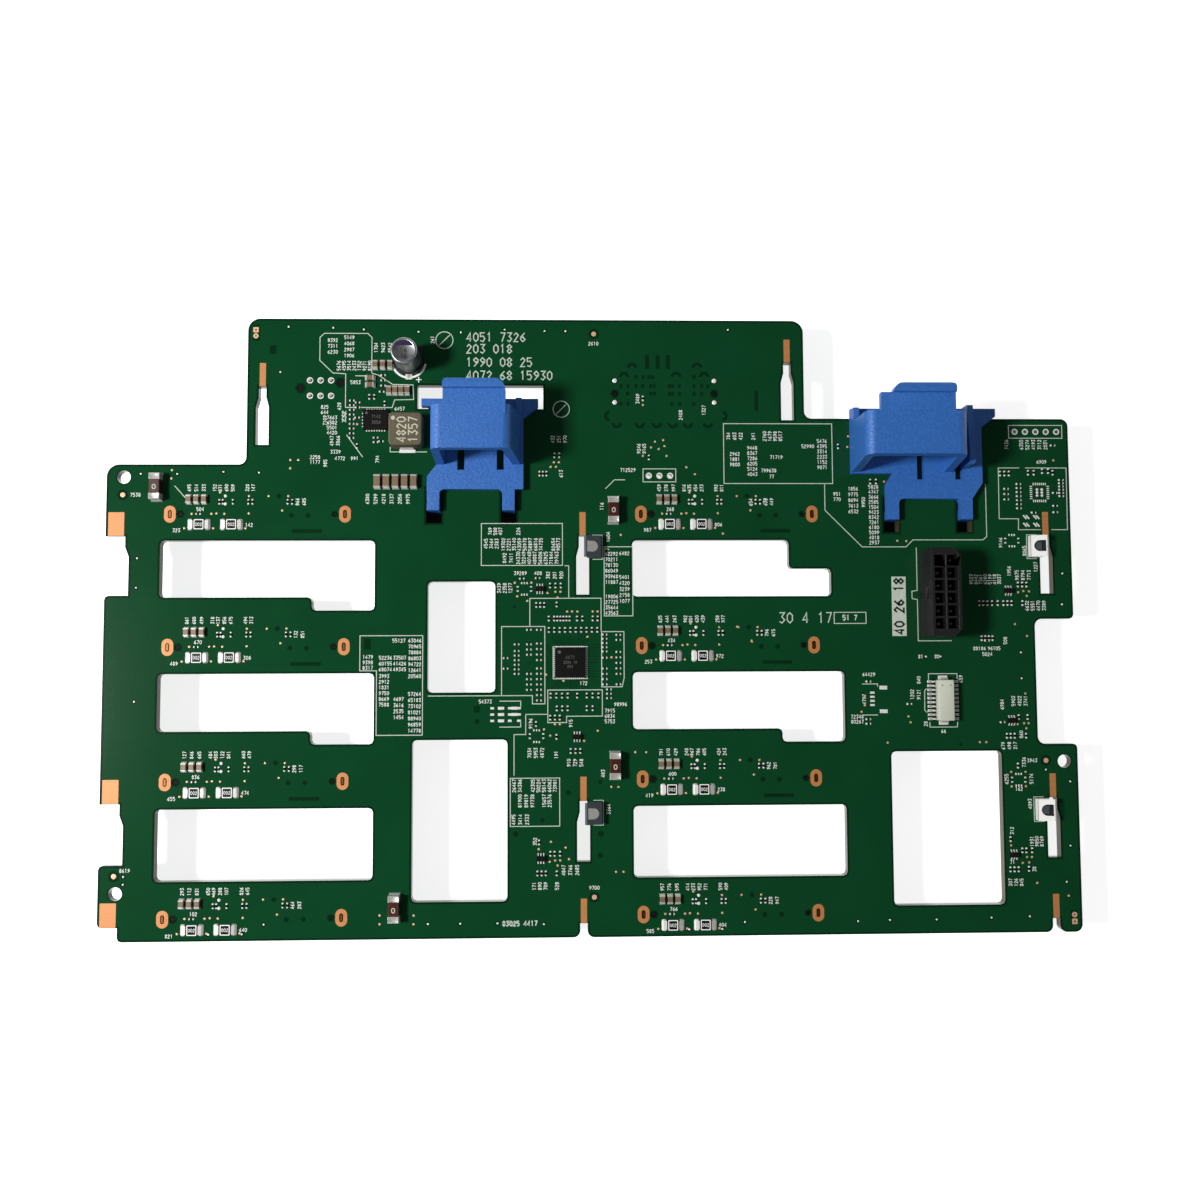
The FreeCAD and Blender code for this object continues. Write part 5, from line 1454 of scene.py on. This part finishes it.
# The mark of the first pin on a chip's face: how far it starts below the face, and how far its rim and its
# middle stand over it
pinMark = {"below": 0.02, "rim": 0.01, "middle": 0.012}


def addPinMark(shape, x, y, face, radius, crown, sides):
    addButton(shape, x, y, radius, face - pinMark["below"], face + pinMark["rim"],
              (crown, face + pinMark["middle"]), sides, 1)


# Controller: a moulded body with one corner cut, a first-pin dimple, plain numbers and pads at the rim.
# The body's steps are inset and height over the board, and its shoulder is inset and depth below the face.
# Numbers are the text, how far up and the height. Pads are count, pitch, width, length and height
controller = {"cut": 0.5, "steps": [(0.03, 0.05), (0.03, 0.45)], "shoulder": [(0.12, 0.02), (0.3, 0)],
              "dimple": (-2.6, 2.5, 0.4, 0.3, 16), "stroke": 0.09, "ink": 0.015,
              "numbers": (("4071", 1.2, 0.8), ("2206 18", 0.05, 0.62), ("053", -1, 0.62)),
              "pads": (14, 0.5, 0.24, 0.5, 0.1), "padReach": 0.02}


def makeController():
    low, high, x, y = boxOf("controller_chip")
    size, cut = high.x - low.x, controller["cut"]
    body = startShape()

    def cutSquare(inset, z):
        a = size / 2 - inset
        return atHeight([(x - a, y - a), (x + a, y - a), (x + a, y + a), (x - a + cut, y + a),
                         (x - a, y + a - cut)], z)

    addHull(body, [cutSquare(inset, top + rise) for inset, rise in controller["steps"]]
            + [cutSquare(inset, high.z - drop) for inset, drop in controller["shoulder"]])
    dx, dy, radius, crown, sides = controller["dimple"]
    addPinMark(body, x + dx, y + dy, high.z, radius, crown, sides)
    for text, rise, tall in controller["numbers"]:
        for word, offset in placedWords(text, tall):
            addNumber(body, word, x + offset, y + rise, tall, False, high.z, high.z + controller["ink"], 1,
                      controller["stroke"])
    makePiece("controller_body", body, [chipEpoxy, greyInkAndDimpleShade], ["controller_chip"])
    pads = startShape()
    for alongX in (True, False):
        addPadRows(pads, x, y, alongX, size / 2 + controller["padReach"], *controller["pads"])
    makePiece("controller_pads", pads, [solder])


# Regulator: a smaller body of the same kind, with pads of its own
regulator = {"shy": 0.06, "trim": 0.08, "stand": 0.05, "dimple": (0.9, 0.32, 0.2, 14),
             "numbers": (("7142", 0.7), ("3058", -0.7)), "height": 0.75, "stroke": 0.1, "shift": 0.2,
             "ink": 0.015, "endPads": (8, 0.62, 0.3, 0.6, 0.12), "sidePads": (5, 0.8, 0.34, 0.6, 0.12)}


def makeRegulator():
    low, high, x, y = boxOf("regulator_chip")
    wide, long, shy = high.x - low.x, high.y - low.y, regulator["shy"]
    body = startShape()
    addBrick(body, x, y, wide - shy, long - shy, top + regulator["stand"], high.z, regulator["trim"])
    inset, radius, crown, sides = regulator["dimple"]
    addPinMark(body, low.x + inset, high.y - inset, high.z, radius, crown, sides)
    for text, rise in regulator["numbers"]:
        addNumber(body, text, x + regulator["shift"], y + rise, regulator["height"], False, high.z,
                  high.z + regulator["ink"], 1, regulator["stroke"])
    addPadRows(body, x, y, True, long / 2, *regulator["endPads"], skin=2)
    addPadRows(body, x, y, False, wide / 2, *regulator["sidePads"], skin=2)
    makePiece("regulator_body", body, [chipEpoxy, greyInkAndDimpleShade, solder], ["regulator_chip"])


# Choke: a pressed powder block over folded tinned terminals, with plain numbers and a dot printed on it.
# Strap and pad: how far out from the block, size and height
choke = {"edge": 0.2, "numbers": (("4820", -0.9), ("1357", 1.9)), "drop": 0.2, "height": 2.1, "stroke": 0.3,
         "ink": 0.02, "dot": (-2.9, 2.6, 0.5, 0.3), "dotRim": 0.015, "dotSides": 16,
         "strap": (0.08, 3.2, 0.3, 1.9), "pad": (0.5, 3.9, 0.9, 0.16)}


def makeChoke():
    low, high, x, y = boxOf("choke_body")
    ink = choke["ink"]
    roundedCopy("choke_body", powder, choke["edge"])
    marks = startShape()
    for text, offset in choke["numbers"]:
        addNumber(marks, text, x + offset, y - choke["drop"], choke["height"], True, high.z - ink,
                  high.z + ink, 0, choke["stroke"])
    dx, dy, radius, crown = choke["dot"]
    addButton(marks, x + dx, y + dy, radius, high.z - ink, high.z + choke["dotRim"],
              (crown, high.z + ink), choke["dotSides"])
    makePiece("choke_marks", marks, [paleInk])
    ends = startShape()
    for side in (-1, 1):
        for skin, (out, wide, long, tall) in enumerate((choke["strap"], choke["pad"])):
            edge = y + side * (high.y - low.y) / 2
            addBrick(ends, x, edge + side * out, wide, long, top, top + tall, skin=skin)
    makePiece("choke_end_straps", ends, [platedTin, solder], ["choke_terminals"])


# Capacitor: a drawn can with a crimp near its foot, a purple field printed on its top, and a moulded foot.
# Numbers are the text and how far up from the middle. Legs and pads: how far out, size and height
can = {"outline": (4.1, 190, 350, 16), "outlineWidth": 0.5, "outlineHigh": 0.03, "mark": (2.4, -4.6),
       "markHalf": 0.7, "markWidth": 0.22, "markHigh": 0.04, "sides": 48,
       "foot": [(0.25, 0), (0.06, 0.15), (0, 0.4)], "rim": (0.84, 0.82), "middle": 0.2, "crimp": 1.6,
       "crimpDepth": 0.28, "crimpHalf": 0.4, "edge": 0.35, "edgeSteps": 4, "lid": 0.06, "dip": 0.1,
       "field": (0.8, 28, 152, 20), "fieldInk": 0.025,
       "numbers": (("56", 0.1), ("16", -1.35)), "height": 1.15, "stroke": 0.14, "ink": 0.02,
       "baseEdge": 0.12, "leg": (3.4, 0.7, 1.5, 0.16), "pad": (3.9, 1.6, 1.3, 0.1), "trim": 0.05}


# Points on an arc, from one angle to another in degrees
def arcPoints(x, y, radius, start, end, steps):
    turns = [math.radians(start) + math.radians(end - start) * n / steps for n in range(steps + 1)]
    return [(x + radius * math.cos(turn), y + radius * math.sin(turn)) for turn in turns]


def makeCapacitor():
    low, high, x, y = boxOf("capacitor_can")
    radius, edge = (high.x - low.x) / 2, can["edge"]
    crimp, half = low.z + can["crimp"], can["crimpHalf"]
    lid, dip = high.z - can["lid"], high.z - can["dip"]
    shape = startShape()
    profile = [(radius - inset, low.z + rise) for inset, rise in can["foot"]]
    profile += [(radius, crimp - half), (radius - can["crimpDepth"], crimp), (radius, crimp + half)]
    profile += arcPoints(radius - edge, lid - edge, edge, 0, 90, can["edgeSteps"])
    upper, lower = can["rim"]
    profile += [(radius * upper, lid), (radius * lower, dip), (can["middle"], dip)]
    addTurned(shape, x, y, profile, can["sides"])
    makePiece("capacitor_drawn_can", shape, [aluminium], ["capacitor_can"])
    shape = startShape()
    share, start, end, steps = can["field"]
    addPrism(shape, arcPoints(x, y, radius * share, start, end, steps), dip, dip + can["fieldInk"])
    for text, rise in can["numbers"]:
        addNumber(shape, text, x, y + rise, can["height"], False, dip, dip + can["ink"], 1, can["stroke"])
    makePiece("capacitor_top_print", shape, [purpleInk, darkInk])
    roundedCopy("capacitor_base", blackNylon, can["baseEdge"])
    shape = startShape()
    flat = top + printing["low"]
    thin, thick = flat + can["outlineHigh"], flat + can["markHigh"]
    addStroke(shape, arcPoints(x, y, *can["outline"]), can["outlineWidth"], flat, thin)
    markX, markY = x + can["mark"][0], y + can["mark"][1]
    reach, width = can["markHalf"], can["markWidth"]
    addStroke(shape, [(markX - reach, markY), (markX + reach, markY)], width, flat, thin)
    addStroke(shape, [(markX, markY - reach), (markX, markY + reach)], width, flat, thick)
    makePiece("capacitor_outline", shape, [denseInk])
    ends = startShape()
    for side in (-1, 1):
        for skin, (out, wide, long, tall) in enumerate((can["leg"], can["pad"])):
            addBrick(ends, x, y + side * out, wide, long, top, top + tall, can["trim"], skin)
    makePiece("capacitor_legs", ends, [platedTin, solder], ["capacitor_terminals"])


# Ground clips, each folded from one spring strip: a foot, a wall, an arm that rises towards the slot round
# a window like a D, and a bent nose. The left pair's arms carry painted shade and their tongues, which fill
# their windows, a painted highlight in bright tin; the right pair's arms carry a painted highlight and their
# tongues, which lie deeper, painted shade. A tongue plate is its half size, how far towards the fold and
# how deep it lies, and its material
clips = {"sheet": 0.25, "rise": 1.1, "foot": 3.4, "window": 1.35, "thick": 0.1, "tuck": 0.8, "steps": 12,
         "left": [(1.3, 0, 0.06, 3)], "right": [(1.55, 0, 0.75, 2), (0.95, 0.45, 0.6, 1)]}


# The outline of a D: two corners towards the nose and a half circle towards the fold
def tongueOutline(size):
    return [(size, -size), (size, size)] + arcPoints(0, 0, size, 90, 270, clips["steps"])


# The rim of the arm, with a point for each point of the outline of its window
def armOutline(nose, half, long):
    points = [(nose, -long), (nose, long)]
    steps, quarter = clips["steps"], clips["steps"] // 4
    for n in range(steps + 1):
        across = half * min(n, steps - n, quarter) / quarter
        points.append((-across, long * max(-1, min(1, 1 - (n - quarter) / quarter))))
    return points


def makeClip(n):
    low, high, x, y = boxOf("ground_clip_%d" % n)
    half, long = (high.x - low.x) / 2, (high.y - low.y) / 2
    # the left pair's arms are painted shade and the right pair's are painted lit
    side, facing, arm = ("left", -1, paintedShadeStrip) if n < 3 else ("right", 1, paintedLitStrip)
    sheet, rise, thick = clips["sheet"], clips["rise"], clips["thick"]
    nose, knee = half - sheet * 2, high.z - rise
    shape = startShape()

    # an outline on the slope of the arm, sunk below it and shifted towards the fold
    def onSlope(outline, sunk, shift=0):
        return [(x + facing * (px - shift), y + py, knee + rise * (px - shift + half) / (nose + half) - sunk)
                for px, py in outline]

    # a profile swept over the clip's whole length
    def addFold(profile):
        addHull(shape, [[(x + facing * px, y + py, pz) for px, pz in profile] for py in (-long, long)])

    rim, window = armOutline(nose, half, long), tongueOutline(clips["window"])
    addHull(shape, [onSlope(rim, sheet), onSlope(rim, 0), onSlope(window, 0), onSlope(window, sheet)], True)
    foot = clips["foot"] - half
    addFold([(foot, low.z), (-half, low.z), (-half, knee), (sheet - half, knee - sheet * clips["tuck"]),
             (sheet - half, low.z + sheet), (foot, low.z + sheet)])
    addFold([(nose, high.z), (half, high.z - sheet * 2), (half - sheet, high.z - sheet * 2),
             (nose, high.z - sheet)])
    # tongue plates: a painted highlight in tin on the left pair, painted shade on the right pair
    for size, shift, sunk, skin in clips[side]:
        outline = tongueOutline(size)
        addHull(shape, [onSlope(outline, sunk + thick, shift), onSlope(outline, sunk, shift)], skin=skin)
    makePiece("folded_clip_%d" % n, shape, [arm, paintedShadeStrip, shadedStrip, platedTin],
              ["ground_clip_%d" % n])


makeHandles()
makePowerHeader()
makeSignalHeader()
makeController()
makeRegulator()
makeChoke()
makeCapacitor()
for n in range(1, 5):
    makeClip(n)
print("handles, headers, supply and clips are on")


# Connectors on the hidden side
hiddenEdge = {"connector": 0.12, "header": 0.15}

for n in range(1, 9):
    roundedCopy("drive_connector_%d" % n, connectorPolymer, hiddenEdge["connector"], 1)
    dress(gold, "drive_contacts_%d" % n)
dress(gold, "data_connector_contacts")
dress(platedTin, "aux_header_pins")
roundedCopy("data_connector_body", connectorPolymer, hiddenEdge["connector"], 1)
roundedCopy("aux_header_housing", connectorPolymer, hiddenEdge["header"], 1)
print("the hidden side is on")

bpy.context.scene.view_settings.view_transform = "Standard"
